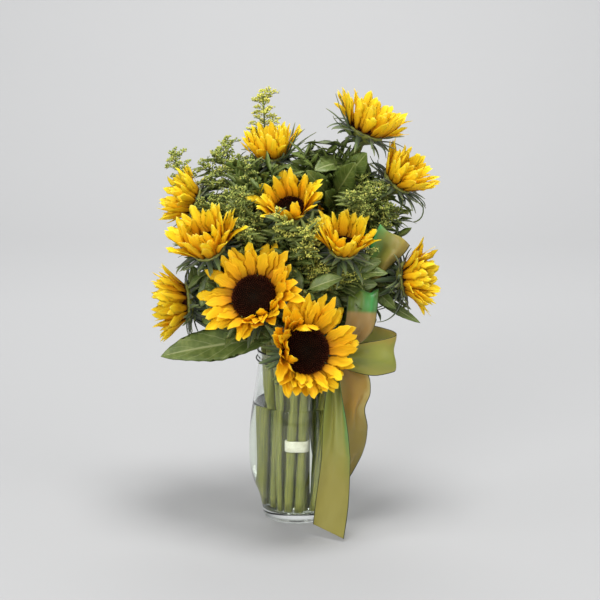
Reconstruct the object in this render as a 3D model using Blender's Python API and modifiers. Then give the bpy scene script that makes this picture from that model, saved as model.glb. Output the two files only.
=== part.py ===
"""A dozen sunflowers with goldenrod and leafy sprigs in a clear glass vase of water, with a ribbon bow.

Blender 4.5, metres, +Z up. The origin is the middle of the vase's foot, and the front of the
arrangement faces -Y. Sizes below are in millimetres and are turned to metres where a mesh is made.
"""

import math
import random
from collections import namedtuple

import bmesh
import bpy
import numpy as np
from mathutils import Matrix, Vector
from mathutils.bvhtree import BVHTree
from mathutils.geometry import convex_hull_2d

MM = 0.001
TURN = 2 * math.pi
GOLDEN_ANGLE = math.pi * (3 - math.sqrt(5))
GAP = 0.3  # between pieces that touch

# Vase: height and outer radii from the foot to the rim
VASE_OUTER = (
    (0, 38), (2, 40.5), (10, 42), (28, 46), (47, 53.3), (67, 57.3), (92, 58), (117, 56.5),
    (143, 53.2), (171, 49), (197, 46.4), (208, 48.2),
)
VASE_WALL = 3.0
VASE_INNER_LEVELS = (28, 61, 97, 148, 197)
VASE_BASE = 11.0
VASE_SIDES = 20
WATER_LEVEL = 143.0
WATER_GAP = 0.5  # to the glass
HOLE_GAP = 0.48  # round each stem
RIM = VASE_OUTER[-1][0]
NECK_LEVEL = RIM + 5  # stems are straight up to here

# Stems
SUNFLOWER_STEM = 5.0  # radii
GOLDENROD_STEM = 1.6
SPRIG_STEM = 1.9
STEM_SPACE = 0.9  # left between stems, for their lean
FOOT_LEVEL = VASE_BASE + 3.4
STEM_STEPS = 6  # points of a stem's curve above the neck
PATH_SPACE = 1.6  # left between the curves above the neck
SPIRAL = math.radians(52)  # how far round the vase a stem runs from its foot to the neck
NECK_SPREAD = (10.0, 0.26, 34.0)  # place in the neck: at least, per mm of the end's reach, at most
FOOT_SPREAD = 0.92  # of the place in the neck
FLAT_SIDES = 1.06  # a rod's corners reach this far past its radius
WALL_SPACE = 1.2  # between a stem and the glass
EASE = 0.3  # share of an overlap that one round of pushing takes away
VASE_ROUNDS = 900
GATHER_ROUNDS = 750  # of those, the rounds that also draw the banded stems together
PATH_ROUNDS = 240
HEAD_SPACE = 9.0  # between a head's disc and any other stem
BAND_LEVEL = 98.0
BAND_HEIGHT = 13.0
BAND_WALL = 1.2
BAND_CENTRE = (0.0, -33.0)
BAND_REACH = 16.0  # no other stem comes this near the middle of the banded ones
BANDED = ("front_right", "front_left", "mid_right")

# Flower heads: middle of the disc, the way it faces, the disc's radius, the petals' length and their
# lift from the disc's plane, and the side (degrees round the disc, 0 right, 90 up) where they fold in
Head = namedtuple("Head", "name at faces disc petal lift fold_side fold")
HEADS = (
    Head("front_right", (10, -116, 236), (0.30, -0.90, 0.28), 26, 41, 20, 180, 48),
    Head("front_left", (-49, -88, 292), (-0.26, -0.84, 0.46), 25, 40, 18, -60, 42),
    Head("middle", (-8, -42, 386), (-0.14, -0.62, 0.78), 16, 38, 52, -80, 10),
    Head("mid_right", (54, -64, 346), (0.12, -0.46, 0.88), 15, 38, 52, -90, 8),
    Head("left", (-103, -50, 345), (-0.34, -0.48, 0.81), 19, 40, 46, -60, 18),
    Head("top_left", (-30, 22, 441), (-0.16, -0.12, 0.98), 17, 34, 58, 0, 0),
    Head("top_right", (82, 18, 471), (0.40, -0.06, 0.90), 20, 40, 46, 0, 0),
    Head("right_upper", (121, 4, 413), (0.60, -0.22, 0.76), 17, 36, 52, 0, 0),
    Head("right", (132, -20, 298), (0.95, -0.26, 0.14), 19, 36, 50, 0, 0),
    Head("far_left_upper", (-127, 30, 382), (-0.88, -0.12, 0.40), 17, 34, 50, 0, 0),
    Head("far_left_lower", (-135, -22, 270), (-0.98, -0.18, -0.02), 21, 37, 54, 0, 0),
    Head("back", (10, 92, 335), (0.10, 0.80, 0.58), 21, 38, 30, 0, 0),
)
HEAD_SIDES = 10
RECEPTACLE_DEPTH = 20.0
CUP_TOP = -4.2  # below the disc's rim, as are the roots of petals and bracts
PETAL_ROOT = -1.8
BRACT_ROOT = -6.2
PETAL_THICK = 0.8
PETAL_STATIONS = (0, 0.45, 0.8, 1)
PETAL_ROWS = (6, 6)
FRONT_PETAL_ROWS = (8, 8)  # of the two heads that face forward
BRACTS = 6
BRACT_THICK = 0.9
BRACT_WIDTH = 10.5
BRACT_STATIONS = (0, 0.5, 1)

# Goldenrod: tip of each plume, and the length of stem that carries branches
GOLDENROD = (
    ("goldenrod_top", (-40, 50, 505), 90),
    ("goldenrod_left", (-148, 50, 431), 84),
    ("goldenrod_upper_left", (-86, 46, 447), 90),
    ("goldenrod_centre_left", (-60, -26, 393), 84),
    ("goldenrod_centre", (20, -70, 373), 70),
    ("goldenrod_right", (84, -16, 405), 84),
)
BRANCHES = 7
BRANCH_KNOBS = ((0, 0.9), (0.28, 3.6), (0.46, 1.8), (0.68, 4.0), (0.84, 2.0), (1, 0))  # share, radius
BRANCH_DROOP = -0.9

LEAF_STATIONS = (0, 0.15, 0.42, 0.74, 1)
LEAF_THICK = 0.9
LEAF_FOLD = 0.2  # of half the width, as is the wave of its edges
LEAF_WAVE = 0.1

# Leafy sprigs: tip of the stem, then leaves as (share of the stem, direction, length, width)
SPRIG_DROOP = 25.0  # degrees
SPRIGS = (
    ("sprig_upper_right", (47, 8, 407), (
        (1.0, (0.72, -0.15, 0.66), 58, 30), (0.98, (-0.72, -0.3, 0.62), 70, 36),
        (0.96, (0.1, 0.4, 0.9), 64, 34), (0.92, (0.85, 0.5, 0.1), 62, 32),
        (0.88, (-0.6, 0.75, 0.2), 64, 32), (0.84, (0.8, -0.5, 0.3), 60, 32),
        (0.78, (-0.3, -0.9, 0.2), 60, 32), (0.72, (0.3, -0.9, 0.2), 60, 30))),
    ("sprig_upper_left", (-42, -2, 391), (
        (1.0, (-0.62, -0.25, 0.74), 62, 32), (0.96, (0.6, 0.1, 0.8), 56, 28),
        (0.92, (-0.8, 0.5, 0.3), 66, 34), (0.86, (-0.5, -0.85, 0.1), 62, 30),
        (0.8, (0.75, 0.6, 0.2), 60, 30), (0.74, (-0.9, -0.2, 0.1), 66, 32),
        (0.68, (0.2, -0.9, 0.3), 56, 28))),
    ("sprig_right", (92, -2, 293), (
        (1.0, (0.55, -0.1, 0.83), 64, 34), (0.93, (0.85, 0.5, 0.15), 62, 32),
        (0.9, (-0.3, 0.9, 0.4), 60, 30), (0.82, (0.8, -0.2, 0.5), 52, 26))),
    ("sprig_low", (4, -48, 323), (
        (1.0, (0.6, -0.45, 0.65), 58, 30), (0.96, (-0.6, -0.5, 0.6), 56, 30),
        (0.9, (0.8, -0.5, 0.2), 60, 30), (0.84, (-0.7, -0.6, 0.2), 56, 28),
        (0.76, (0.5, -0.85, 0.1), 50, 26))),
    ("sprig_left", (-82, -14, 317), (
        (1.0, (-0.6, -0.5, 0.6), 60, 30), (0.94, (0.6, -0.5, 0.6), 58, 28),
        (0.88, (-0.3, 0.8, 0.4), 62, 32), (0.78, (-0.8, 0.1, 0.4), 56, 28))),
    ("sprig_back", (-50, 74, 357), (
        (1.0, (-0.3, 0.6, 0.74), 68, 36), (0.92, (0.7, 0.5, 0.5), 66, 34),
        (0.84, (-0.85, 0.45, 0.1), 68, 34), (0.76, (0.2, 0.95, 0.0), 64, 32),
        (0.68, (-0.5, 0.8, -0.1), 62, 32))),
    ("sprig_back_right", (66, 60, 367), (
        (1.0, (0.4, 0.3, 0.85), 66, 34), (0.93, (-0.6, 0.6, 0.5), 64, 34),
        (0.86, (0.9, 0.3, 0.2), 64, 32), (0.78, (0.4, 0.9, 0.1), 62, 32))),
)

# Leaves on the sunflower stems: share of the way up, direction, length, width, droop in degrees
STEM_LEAVES = {
    "front_left": ((0.74, (-0.95, -0.27, 0.14), 152, 44, 26), (0.9, (0.9, 0.1, 0.4), 50, 26, 20)),
    "far_left_lower": ((0.88, (0.1, -0.75, 0.5), 56, 28, 30), (0.8, (-0.3, 0.9, 0.3), 66, 36, 40)),
    "far_left_upper": ((0.9, (0.4, -0.5, 0.75), 56, 28, 30), (0.8, (-0.6, 0.75, 0.1), 66, 36, 40)),
    "left": ((0.88, (0.75, -0.3, 0.55), 62, 32, 30), (0.8, (-0.75, 0.3, 0.55), 60, 32, 30)),
    "top_left": ((0.9, (0.8, -0.3, 0.5), 62, 30, 20), (0.84, (-0.6, 0.6, 0.5), 64, 32, 20)),
    "top_right": ((0.9, (-0.6, 0.6, 0.5), 64, 32, 30), (0.82, (0.3, 0.9, 0.3), 68, 36, 30)),
    "right_upper": ((0.86, (0.8, -0.45, 0.0), 54, 24, 50), (0.78, (-0.2, 0.95, 0.2), 68, 36, 30)),
    "right": ((0.88, (0.35, -0.6, -0.5), 54, 22, 60), (0.74, (0.5, 0.8, 0.2), 68, 36, 40)),
    "mid_right": ((0.88, (0.7, -0.6, 0.1), 56, 28, 40), (0.8, (0.75, 0.5, 0.4), 62, 34, 30)),
    "middle": ((0.9, (-0.85, -0.3, 0.3), 58, 30, 30), (0.86, (0.85, -0.2, 0.3), 58, 30, 30)),
    "back": ((0.82, (-0.7, 0.6, 0.1), 74, 40, 40), (0.74, (0.75, 0.6, 0.1), 74, 40, 40)),
}

# Ribbon: its middle line and half its width, from the knot outwards, for each loop and tail
RIBBON_THICK = 0.8
KNOT = (41, -49, 212)
KNOT_SIZE = (9.0, 7.5, 10.0)  # half its width, depth and height
WIRE = 0.9  # radius
WIRE_LEVEL = 197.0
WIRE_RING = 48.6
RIBBON_STRIPS = (
    ("loop_right", (
        ((42, -52, 211), (0, 1, 6)), ((64, -66, 210), (2, 0, 16)), ((92, -68, 206), (4, 2, 21)),
        ((111, -60, 209), (1, 0, 22)), ((115, -52, 211), (0, 0, 22)), ((108, -44, 214), (-1, 0, 22)),
        ((86, -40, 220), (-3, 0, 21)), ((62, -42, 219), (0, 0, 15)), ((43, -46, 214), (0, 1, 6)))),
    ("loop_upper", (
        ((40, -53, 214), (6, 0, 2)), ((54, -66, 241), (14, 3, 7)), ((74, -74, 265), (11, 7, 16)),
        ((91, -71, 277), (3, 11, 18)), ((99, -62, 281), (0, 13, 18)), ((95, -52, 280), (1, 13, 18)),
        ((77, -46, 265), (8, 9, 15)), ((57, -45, 241), (12, 3, 7)), ((41, -47, 215), (6, 0, 2)))),
    ("loop_high", (
        ((43, -46, 217), (5, 0, -2)), ((56, -36, 243), (8, 0, -4)), ((74, -33, 281), (9, 0, -5)),
        ((92, -37, 319), (12, -1, -8)), ((108, -40, 345), (17, -2, -12)), ((114, -37, 355), (18, -2, -12)),
        ((108, -31, 344), (17, -2, -12)), ((91, -28, 316), (12, -1, -8)), ((73, -25, 277), (9, 0, -5)),
        ((55, -30, 242), (8, 0, -4)), ((42, -45, 214), (5, 0, -2)))),
    ("tail_front", (
        ((40, -53, 210), (6, -1, 0)), ((45, -62, 180), (8, -5, 0)), ((46, -70, 141), (13, -8, 2)),
        ((45, -78, 94), (17, -11, 2)), ((42, -85, 47), (19, -11, -2)), ((37, -91, 9), (18, -12, -5)))),
    ("tail_side", (
        ((44, -50, 210), (5, 2, 0)), ((60, -55, 188), (13, 3, 2)), ((71, -56, 159), (15, 5, 2)),
        ((72, -55, 127), (12, 11, 0)), ((72, -53, 100), (10, 15, 0)), ((66, -48, 72), (9, 16, -2)),
        ((58, -44, 55), (8, 14, -5)))),
)

COLOURS = {  # base colour, roughness, metallic, transmission
    "glass": ((0.93, 0.96, 0.95), 0.03, 0.0, 1.0),
    "water": ((0.90, 0.94, 0.90), 0.02, 0.0, 1.0),
    "petal": ((0.90, 0.55, 0.02), 0.55, 0.0, 0.0),
    "disc": ((0.035, 0.012, 0.010), 0.9, 0.0, 0.0),
    "stem": ((0.20, 0.29, 0.07), 0.6, 0.0, 0.0),
    "goldenrod": ((0.45, 0.50, 0.08), 0.8, 0.0, 0.0),
    "leaf": ((0.07, 0.15, 0.04), 0.45, 0.0, 0.0),
    "ribbon": ((0.33, 0.36, 0.08), 0.4, 0.0, 0.2),
    "band": ((0.80, 0.80, 0.68), 0.7, 0.0, 0.0),
    "wire": ((0.03, 0.06, 0.03), 0.5, 0.3, 0.0),
}


# ---------------------------------------------------------------- scene, materials and mesh helpers

def clear_scene():
    for obj in list(bpy.data.objects):
        bpy.data.objects.remove(obj)


def new_collection(name, hidden=False):
    collection = bpy.data.collections.new(name)
    collection.hide_render = hidden
    bpy.context.scene.collection.children.link(collection)
    return collection


def make_materials():
    made = {}
    for name, (colour, roughness, metallic, transmission) in COLOURS.items():
        material = bpy.data.materials.new(name)
        material.use_nodes = True
        shader = material.node_tree.nodes["Principled BSDF"]
        shader.inputs["Base Color"].default_value = (*colour, 1)
        shader.inputs["Roughness"].default_value = roughness
        shader.inputs["Metallic"].default_value = metallic
        shader.inputs["Transmission Weight"].default_value = transmission
        made[name] = material
    return made


def add(name, mesh, material, collection):
    """A new object of this mesh, shaded smooth except at its hard edges."""
    obj = bpy.data.objects.new(name, mesh)
    mesh.materials.clear()
    mesh.materials.append(MATERIALS[material])
    mesh.shade_smooth()
    mesh.set_sharp_from_angle(angle=math.radians(50))
    collection.objects.link(obj)
    return obj


def evaluated_mesh(obj):
    """The object's mesh with its modifiers or its curve applied, in world space."""
    graph = bpy.context.evaluated_depsgraph_get()
    graph.update()
    mesh = bpy.data.meshes.new_from_object(obj.evaluated_get(graph))
    mesh.transform(obj.matrix_world)
    return mesh


def welded_mesh(obj):
    """The mesh of a curve or a turned profile, with its caps and its seam welded, and the object removed."""
    mesh = evaluated_mesh(obj)
    bpy.data.objects.remove(obj)
    bm = bmesh.new()
    bm.from_mesh(mesh)
    bmesh.ops.remove_doubles(bm, verts=bm.verts, dist=0.01 * MM)
    bm.to_mesh(mesh)
    bm.free()
    return mesh


def loft(rings):
    """A closed mesh over rings of points in mm. Rings have one length, or one point for a tip."""
    bm = bmesh.new()
    rows = [[bm.verts.new(Vector(point) * MM) for point in ring] for ring in rings]
    for first, second in zip(rows, rows[1:]):
        for i in range(len(first)):
            j = (i + 1) % len(first)
            corners = [first[i], first[j], second[j % len(second)], second[i % len(second)]]
            bm.faces.new(list(dict.fromkeys(corners)))
    for row in (rows[0], rows[-1]):
        if len(row) > 2:
            bm.faces.new(row)
    bmesh.ops.recalc_face_normals(bm, faces=bm.faces)
    return mesh_of(bm)


def mesh_of(bm):
    mesh = bpy.data.meshes.new("shape")
    bm.to_mesh(mesh)
    bm.free()
    return mesh


def turned(profile, sides):
    """A solid of revolution about Z. The profile (radius, height) runs down its outer side."""
    mesh = bpy.data.meshes.new("profile")
    points = [Vector((radius, 0, height)) * MM for radius, height in profile]
    mesh.from_pydata(points, [(i, i + 1) for i in range(len(points) - 1)], [])
    obj = bpy.data.objects.new("turned", mesh)
    bpy.context.scene.collection.objects.link(obj)
    screw = obj.modifiers.new("turn", "SCREW")
    screw.steps = screw.render_steps = sides
    screw.use_merge_vertices = True
    screw.merge_threshold = 0.00001
    return welded_mesh(obj)


def tube(points, radius, sides_level=1, closed=False):
    """A round rod along points in mm, as a mesh: 4 sides at level 0 and 6 at level 1."""
    curve = bpy.data.curves.new("rod", "CURVE")
    curve.dimensions = "3D"
    curve.bevel_depth = radius * MM
    curve.bevel_resolution = sides_level
    curve.use_fill_caps = not closed
    spline = curve.splines.new("POLY")
    spline.points.add(len(points) - 1)
    spline.use_cyclic_u = closed
    for place, point in zip(spline.points, points):
        place.co = (*(Vector(point) * MM), 1)
    obj = bpy.data.objects.new("rod", curve)
    bpy.context.scene.collection.objects.link(obj)
    return welded_mesh(obj)


def triangulate(mesh):
    bm = bmesh.new()
    bm.from_mesh(mesh)
    bmesh.ops.triangulate(bm, faces=bm.faces)
    bm.to_mesh(mesh)
    bm.free()


def drop_scraps(mesh):
    """Removes everything but the largest connected piece of the mesh."""
    bm = bmesh.new()
    bm.from_mesh(mesh)
    left, largest = set(bm.verts), set()
    while left:
        reached, queue = set(), [next(iter(left))]
        while queue:
            vert = queue.pop()
            if vert not in reached:
                reached.add(vert)
                queue += [edge.other_vert(vert) for edge in vert.link_edges]
        left -= reached
        largest = max(largest, reached, key=len)
    bmesh.ops.delete(bm, geom=[vert for vert in bm.verts if vert not in largest], context="VERTS")
    bm.to_mesh(mesh)
    bm.free()


def fuse(base, pieces):
    """Joins the pieces to the base object with one Boolean union and removes them."""
    if not pieces:
        return base
    for obj in [base] + pieces:
        triangulate(obj.data)
    group = new_collection("repeats", hidden=True)
    for piece in pieces:
        group.objects.link(piece)
    join = base.modifiers.new("join", "BOOLEAN")
    join.operation = "UNION"
    join.operand_type = "COLLECTION"
    join.collection = group
    join.solver = "MANIFOLD"
    mesh = evaluated_mesh(base)
    drop_scraps(mesh)
    base.modifiers.clear()
    base.data = mesh
    for piece in pieces:
        bpy.data.objects.remove(piece)
    bpy.data.collections.remove(group)
    return base


# ---------------------------------------------------------------- keeping pieces clear of each other

SWELL = 0.35  # mm added all round a leaf, petal or branch when it is tested


class Space:
    """What is already placed, so that a new leaf, petal or floret can be tested against it."""

    def __init__(self):
        self.trees = {}

    def keep(self, owner, mesh, spread=0.0):
        self.trees.setdefault(owner, []).append(tree_of(mesh, spread))

    def free(self, owners, mesh):
        """True where the mesh touches nothing but pieces of these owners."""
        tested = tree_of(mesh, SWELL)
        return not any(
            tested.overlap(tree)
            for owner, trees in self.trees.items() if owner not in owners
            for tree in trees
        )


def tree_of(mesh, spread):
    """A search tree of the mesh, swollen by spread mm."""
    bm = bmesh.new()
    bm.from_mesh(mesh)
    bm.normal_update()
    for vert in bm.verts:
        vert.co += vert.normal * spread * MM
    tree = BVHTree.FromBMesh(bm)
    bm.free()
    return tree


# ---------------------------------------------------------------- stems

Stem = namedtuple("Stem", "name radius foot neck end arrives")


def unit(vector):
    vector = np.asarray(vector, float)
    return vector / np.linalg.norm(vector)


def head_axes(head):
    """Right, up and forward directions of a head's disc."""
    forward = unit(head.faces)
    right = unit(np.cross((0, 0, 1), forward))
    return right, np.cross(forward, right), forward


def inner_radius(level):
    """The vase's inner radius at a level: a wall's thickness inside its outline, less near its floor."""
    levels, radii = zip(*VASE_OUTER)
    wall = VASE_WALL + 2.0 * max(0, 1 - (level - VASE_BASE) / 17)
    return float(np.interp(level, levels, radii)) - wall


def lay_out_stems():
    """Every stem as a straight run from the vase's floor to its neck, in a spiral.

    A stem starts under the place where it leaves the neck, turned round the vase by SPIRAL. Stems
    are then pushed apart, in steps, until none is nearer another or the glass than it may be.
    """
    ends = [(head.name, SUNFLOWER_STEM, back_of(head), unit(head.faces)) for head in HEADS]
    ends += [(name, GOLDENROD_STEM, np.array(tip, float), None) for name, tip, _ in GOLDENROD]
    ends += [(name, SPRIG_STEM, np.array(tip, float), None) for name, tip, _ in SPRIGS]
    radii = np.array([radius for _, radius, _, _ in ends])
    aim = np.array([end[:2] for _, _, end, _ in ends])
    reach = np.linalg.norm(aim, axis=1)
    angle = np.arctan2(aim[:, 1], aim[:, 0])
    least, per_mm, most = NECK_SPREAD
    neck_r = np.minimum(most, least + per_mm * reach)[:, None]
    neck = neck_r * np.stack([np.cos(angle), np.sin(angle)], 1)
    foot = FOOT_SPREAD * neck_r * np.stack([np.cos(angle - SPIRAL), np.sin(angle - SPIRAL)], 1)
    shares = np.linspace(0, 1, 11)
    levels = FOOT_LEVEL + shares * (NECK_LEVEL - FOOT_LEVEL)
    walls = np.array([inner_radius(min(level, RIM)) for level in levels])
    apart = (radii[:, None] + radii[None, :]) * FLAT_SIDES + STEM_SPACE
    banded = [i for i, end in enumerate(ends) if end[0] in BANDED]
    band_share = (BAND_LEVEL - FOOT_LEVEL) / (NECK_LEVEL - FOOT_LEVEL)
    others = [i for i in range(len(ends)) if i not in banded]
    for step in range(VASE_ROUNDS):
        at = foot[:, None] + (neck - foot)[:, None] * shares[None, :, None]
        between = at[:, None] - at[None]
        distance = np.maximum(np.linalg.norm(between, axis=3), 1e-6)
        short = np.maximum(apart[:, :, None] - distance, 0)
        short[np.arange(len(ends)), np.arange(len(ends))] = 0
        push = (between / distance[..., None] * short[..., None]).sum(1) * EASE
        out = np.linalg.norm(at, axis=2)
        over = np.maximum(out - (walls[None] - radii[:, None] * FLAT_SIDES - WALL_SPACE), 0)
        push -= at / np.maximum(out, 1e-6)[..., None] * over[..., None]
        low, high = push * (1 - shares)[None, :, None], push * shares[None, :, None]
        foot += low.max(1) + low.min(1)
        neck += high.max(1) + high.min(1)
        in_band = foot + (neck - foot) * band_share
        from_band = in_band[others] - BAND_CENTRE
        near = np.linalg.norm(from_band, axis=1)
        clear = EASE * np.maximum(BAND_REACH + radii[others] - near, 0) / near
        foot[others] += from_band * clear[:, None]
        neck[others] += from_band * clear[:, None]
        if step < GATHER_ROUNDS:
            inward = np.array(BAND_CENTRE) - in_band[banded]
            foot[banded] += 0.05 * inward
            neck[banded] += 0.03 * inward
    feet = np.column_stack([foot, np.full(len(ends), FOOT_LEVEL)])
    necks = np.column_stack([neck, np.full(len(ends), NECK_LEVEL)])
    return {
        name: Stem(name, radius, feet[i], necks[i], end, way)
        for i, (name, radius, end, way) in enumerate(ends)
    }


def nearest(a, b, c, d):
    """Where segments a-b and c-d come nearest: the share along each, and the step from one to the other."""
    u, v, w = b - a, d - c, a - c
    uu, uv, vv = (u * u).sum(-1), (u * v).sum(-1), (v * v).sum(-1)
    uw, vw = (u * w).sum(-1), (v * w).sum(-1)
    s = np.clip((uv * vw - vv * uw) / np.maximum(uu * vv - uv * uv, 1e-9), 0, 1)
    t = np.clip((uv * s + vw) / vv, 0, 1)
    s = np.clip((uv * t - uw) / uu, 0, 1)
    return s, w + s[..., None] * u - t[..., None] * v


def clear_paths(stems):
    """Each stem's points from its foot to its end, with the curves above the neck pushed clear.

    They are kept clear of each other and of a ball round every flower head but a stem's own.
    """
    laid = np.array([stem_path(stem) for stem in stems.values()])
    paths = laid.copy()
    radii = np.array([stem.radius for stem in stems.values()])
    apart = radii[:, None, None, None] + radii[None, :, None, None] + PATH_SPACE
    own = np.eye(len(radii), dtype=bool)[:, :, None, None]
    balls = np.array([np.array(head.at) + BRACT_ROOT * unit(head.faces) for head in HEADS])
    ball_r = np.array([head.disc + HEAD_SPACE for head in HEADS])
    own_ball = np.array([[head.name == name for head in HEADS] for name in stems])
    freedom = np.array([0, 0] + [1] * (STEM_STEPS - 3) + [0.5, 0])[None, :, None]
    for _ in range(PATH_ROUNDS):
        a, b = paths[:, 1:-1], paths[:, 2:]
        s, step = nearest(a[:, None, :, None], b[:, None, :, None], a[None, :, None], b[None, :, None])
        distance = np.maximum(np.linalg.norm(step, axis=-1), 1e-6)
        short = np.where(own, 0, np.maximum(apart - distance, 0))
        push = step * (EASE * short / distance)[..., None]
        shift = np.zeros_like(paths)
        shift[:, 1:-1] += (push * (1 - s)[..., None]).sum((1, 3))
        shift[:, 2:] += (push * s[..., None]).sum((1, 3))
        run, reach = (b - a)[:, :, None], balls - a[:, :, None]
        s = np.clip((run * reach).sum(-1) / (run * run).sum(-1), 0, 1)[..., None]
        away = s * run - reach
        distance = np.maximum(np.linalg.norm(away, axis=-1), 1e-6)
        short = np.where(own_ball[:, None], 0, np.maximum(ball_r + radii[:, None, None] - distance, 0))
        push = away * (EASE * short / distance)[..., None]
        shift[:, 1:-1] += (push * (1 - s)).sum(2)
        shift[:, 2:] += (push * s).sum(2)
        paths += shift * freedom
        moved = paths - laid
        moved[:, 2:-1] = 0.8 * moved[:, 2:-1] + 0.1 * (moved[:, 1:-2] + moved[:, 3:])
        paths = laid + moved
    return dict(zip(stems, paths))


def back_of(head):
    """Where the stem meets the back of the head."""
    return np.array(head.at, float) - unit(head.faces) * (RECEPTACLE_DEPTH - 2)


def stem_path(stem):
    """Points of the stem: straight in the vase, then one smooth curve to its end."""
    rise = unit(stem.neck - stem.foot)
    span = np.linalg.norm(stem.end - stem.neck)
    arrives = unit(stem.end - stem.neck + (0, 0, 0.3 * span)) if stem.arrives is None else stem.arrives
    bend = 0.42 * span
    points = [stem.foot]
    for t in np.linspace(0, 1, STEM_STEPS):
        points.append(
            (1 - t) ** 3 * stem.neck
            + 3 * t * (1 - t) ** 2 * (stem.neck + rise * bend)
            + 3 * t * t * (1 - t) * (stem.end - arrives * bend)
            + t ** 3 * stem.end
        )
    return points


def point_on(path, share):
    """The point and direction at a share of the path's length."""
    points = np.array(path)
    lengths = np.linalg.norm(np.diff(points, axis=0), axis=1)
    along = np.concatenate([[0], np.cumsum(lengths)])
    at = share * along[-1]
    i = min(int(np.searchsorted(along, at, side="right")) - 1, len(lengths) - 1)
    part = (at - along[i]) / lengths[i]
    return points[i] + (points[i + 1] - points[i]) * part, (points[i + 1] - points[i]) / lengths[i]


# ---------------------------------------------------------------- blades: petals, bracts and leaves

def blade_width(s, root=0.56, widest=0.5):
    """A blade's width at a share s of its length, as a share of its greatest width."""
    rise = root + (1 - root) * math.sin(min(1, s / widest) * math.pi / 2)
    return rise * math.sqrt(max(0, 1 - max(0, (s - widest) / (1 - widest)) ** 2.2))


def arc(s, length, lift, curl):
    """A point of a circular arc that starts at angle lift and turns by curl, as (out, up)."""
    turn = curl if abs(curl) > 1e-4 else 1e-4
    out = length * (math.sin(lift + turn * s) - math.sin(lift)) / turn
    return out, length * (math.cos(lift) - math.cos(lift + turn * s)) / turn


def petal_draws(head):
    """(azimuth, lift, length, width, curl, sway) of each petal, in two rows, the inner raised more."""
    draw = random.Random(head.name)
    drawn = []
    rows = FRONT_PETAL_ROWS if "front" in head.name else PETAL_ROWS
    for row, count in enumerate(rows):
        for n in range(count):
            azimuth = TURN * (n + 0.5 * row) / count + draw.uniform(-0.12, 0.12)
            folded = max(0, math.cos(azimuth - math.radians(head.fold_side))) * head.fold
            lift = math.radians(head.lift + 13 * row + folded + draw.uniform(-6, 6))
            length = head.petal * draw.uniform(0.86, 1.08) * (1 - 0.08 * row)
            width = head.petal * draw.uniform(2.7, 3.3) / count
            curl = math.radians(draw.uniform(-28, 22))
            drawn.append((azimuth, lift, length, width, curl, draw.uniform(-0.2, 0.2)))
    return drawn


def blade_on_head(head, azimuth, root_r, root_z, lift, length, width, curl, sway, thick, stations):
    """A blade that grows from a head's rim, as a loft of flat keeled sections to a pointed tip."""
    right, up, forward = head_axes(head)
    outward = math.cos(azimuth) * right + math.sin(azimuth) * up
    grows = math.cos(azimuth + sway) * right + math.sin(azimuth + sway) * up
    side = np.cross(forward, grows)
    root = np.array(head.at, float) + outward * root_r + forward * root_z
    rings = []
    for s in stations:
        out, rise = arc(s, length, lift, curl)
        at = root + grows * out + forward * rise
        normal = forward * math.cos(lift + curl * s) - grows * math.sin(lift + curl * s)
        half = 0.5 * width * blade_width(s)
        if half < 0.05:
            rings.append([at])
        else:
            rings.append([at + side * half, at - side * half, at - normal * (thick + 0.1 * half)])
    return loft(rings)


def clear_blade(space, owners, build, lift, length):
    """The first of a few bends and lengths of a blade that touches no other piece, or None."""
    for shorter in (1.0, 0.85, 0.7, 0.55):
        for raised in (0, 10, 20, 32, 45, -10):
            mesh = build(lift + math.radians(raised), length * shorter)
            if space.free(owners, mesh):
                return mesh
    return None


def leaf(root, way, length, width, droop):
    """A leaf bent down along its rib, folded a little along it, and waved at its edges.

    Its upper face turns outwards from the vase's axis and up.
    """
    way = unit(way)
    facing = unit((root[0], root[1], 0)) * 0.85 + (0, 0, 0.6)
    lifted = unit(facing - way * facing.dot(way))
    side = np.cross(way, lifted)
    rings = []
    for n, s in enumerate(LEAF_STATIONS):
        turn = -math.radians(droop)
        out, drop = arc(s, length, 0, turn)
        at = np.array(root) + way * out + lifted * drop
        normal = lifted * math.cos(turn * s) - way * math.sin(turn * s)
        half = 0.5 * width * leaf_width(s)
        if s == 1:
            rings.append([at])
            continue
        waved = LEAF_WAVE * (-1) ** n
        left = at + side * half + normal * half * (LEAF_FOLD + waved)
        right = at - side * half + normal * half * (LEAF_FOLD - waved)
        rings.append([left, at + normal * 0.2, right, at - normal * LEAF_THICK])
    return loft(rings)


def leaf_width(s):
    """An oval leaf on a short stalk: narrow to a seventh of its length, widest near the middle, pointed."""
    grown = max(0, s - 0.12) / 0.88
    return max(0.09, math.sin(math.pi * grown ** 0.85) ** 0.75)


def clear_leaf(space, owners, root, way, length, width, droop):
    """The leaf in the first of a few turns about its root where it touches no other piece, or None."""
    way = unit(way)
    for shorter in (1.0, 0.85, 0.7, 0.55):
        for swing in (0, 0.25, -0.25, 0.5, -0.5, 0.8, -0.8, 1.2, -1.2):
            for climb in (0, 0.2, -0.2, 0.45, -0.4):
                turned_way = Matrix.Rotation(swing, 3, "Z") @ Vector(way) + Vector((0, 0, climb))
                mesh = leaf(root, turned_way, length * shorter, width * shorter, droop)
                if space.free(owners, mesh):
                    return mesh
    return None


# ---------------------------------------------------------------- the pieces

def place_on_head(mesh, head):
    right, up, forward = head_axes(head)
    turn = Matrix((right, up, forward)).transposed().to_4x4()
    mesh.transform(Matrix.Translation(Vector(head.at) * MM) @ turn)
    return mesh


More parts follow.
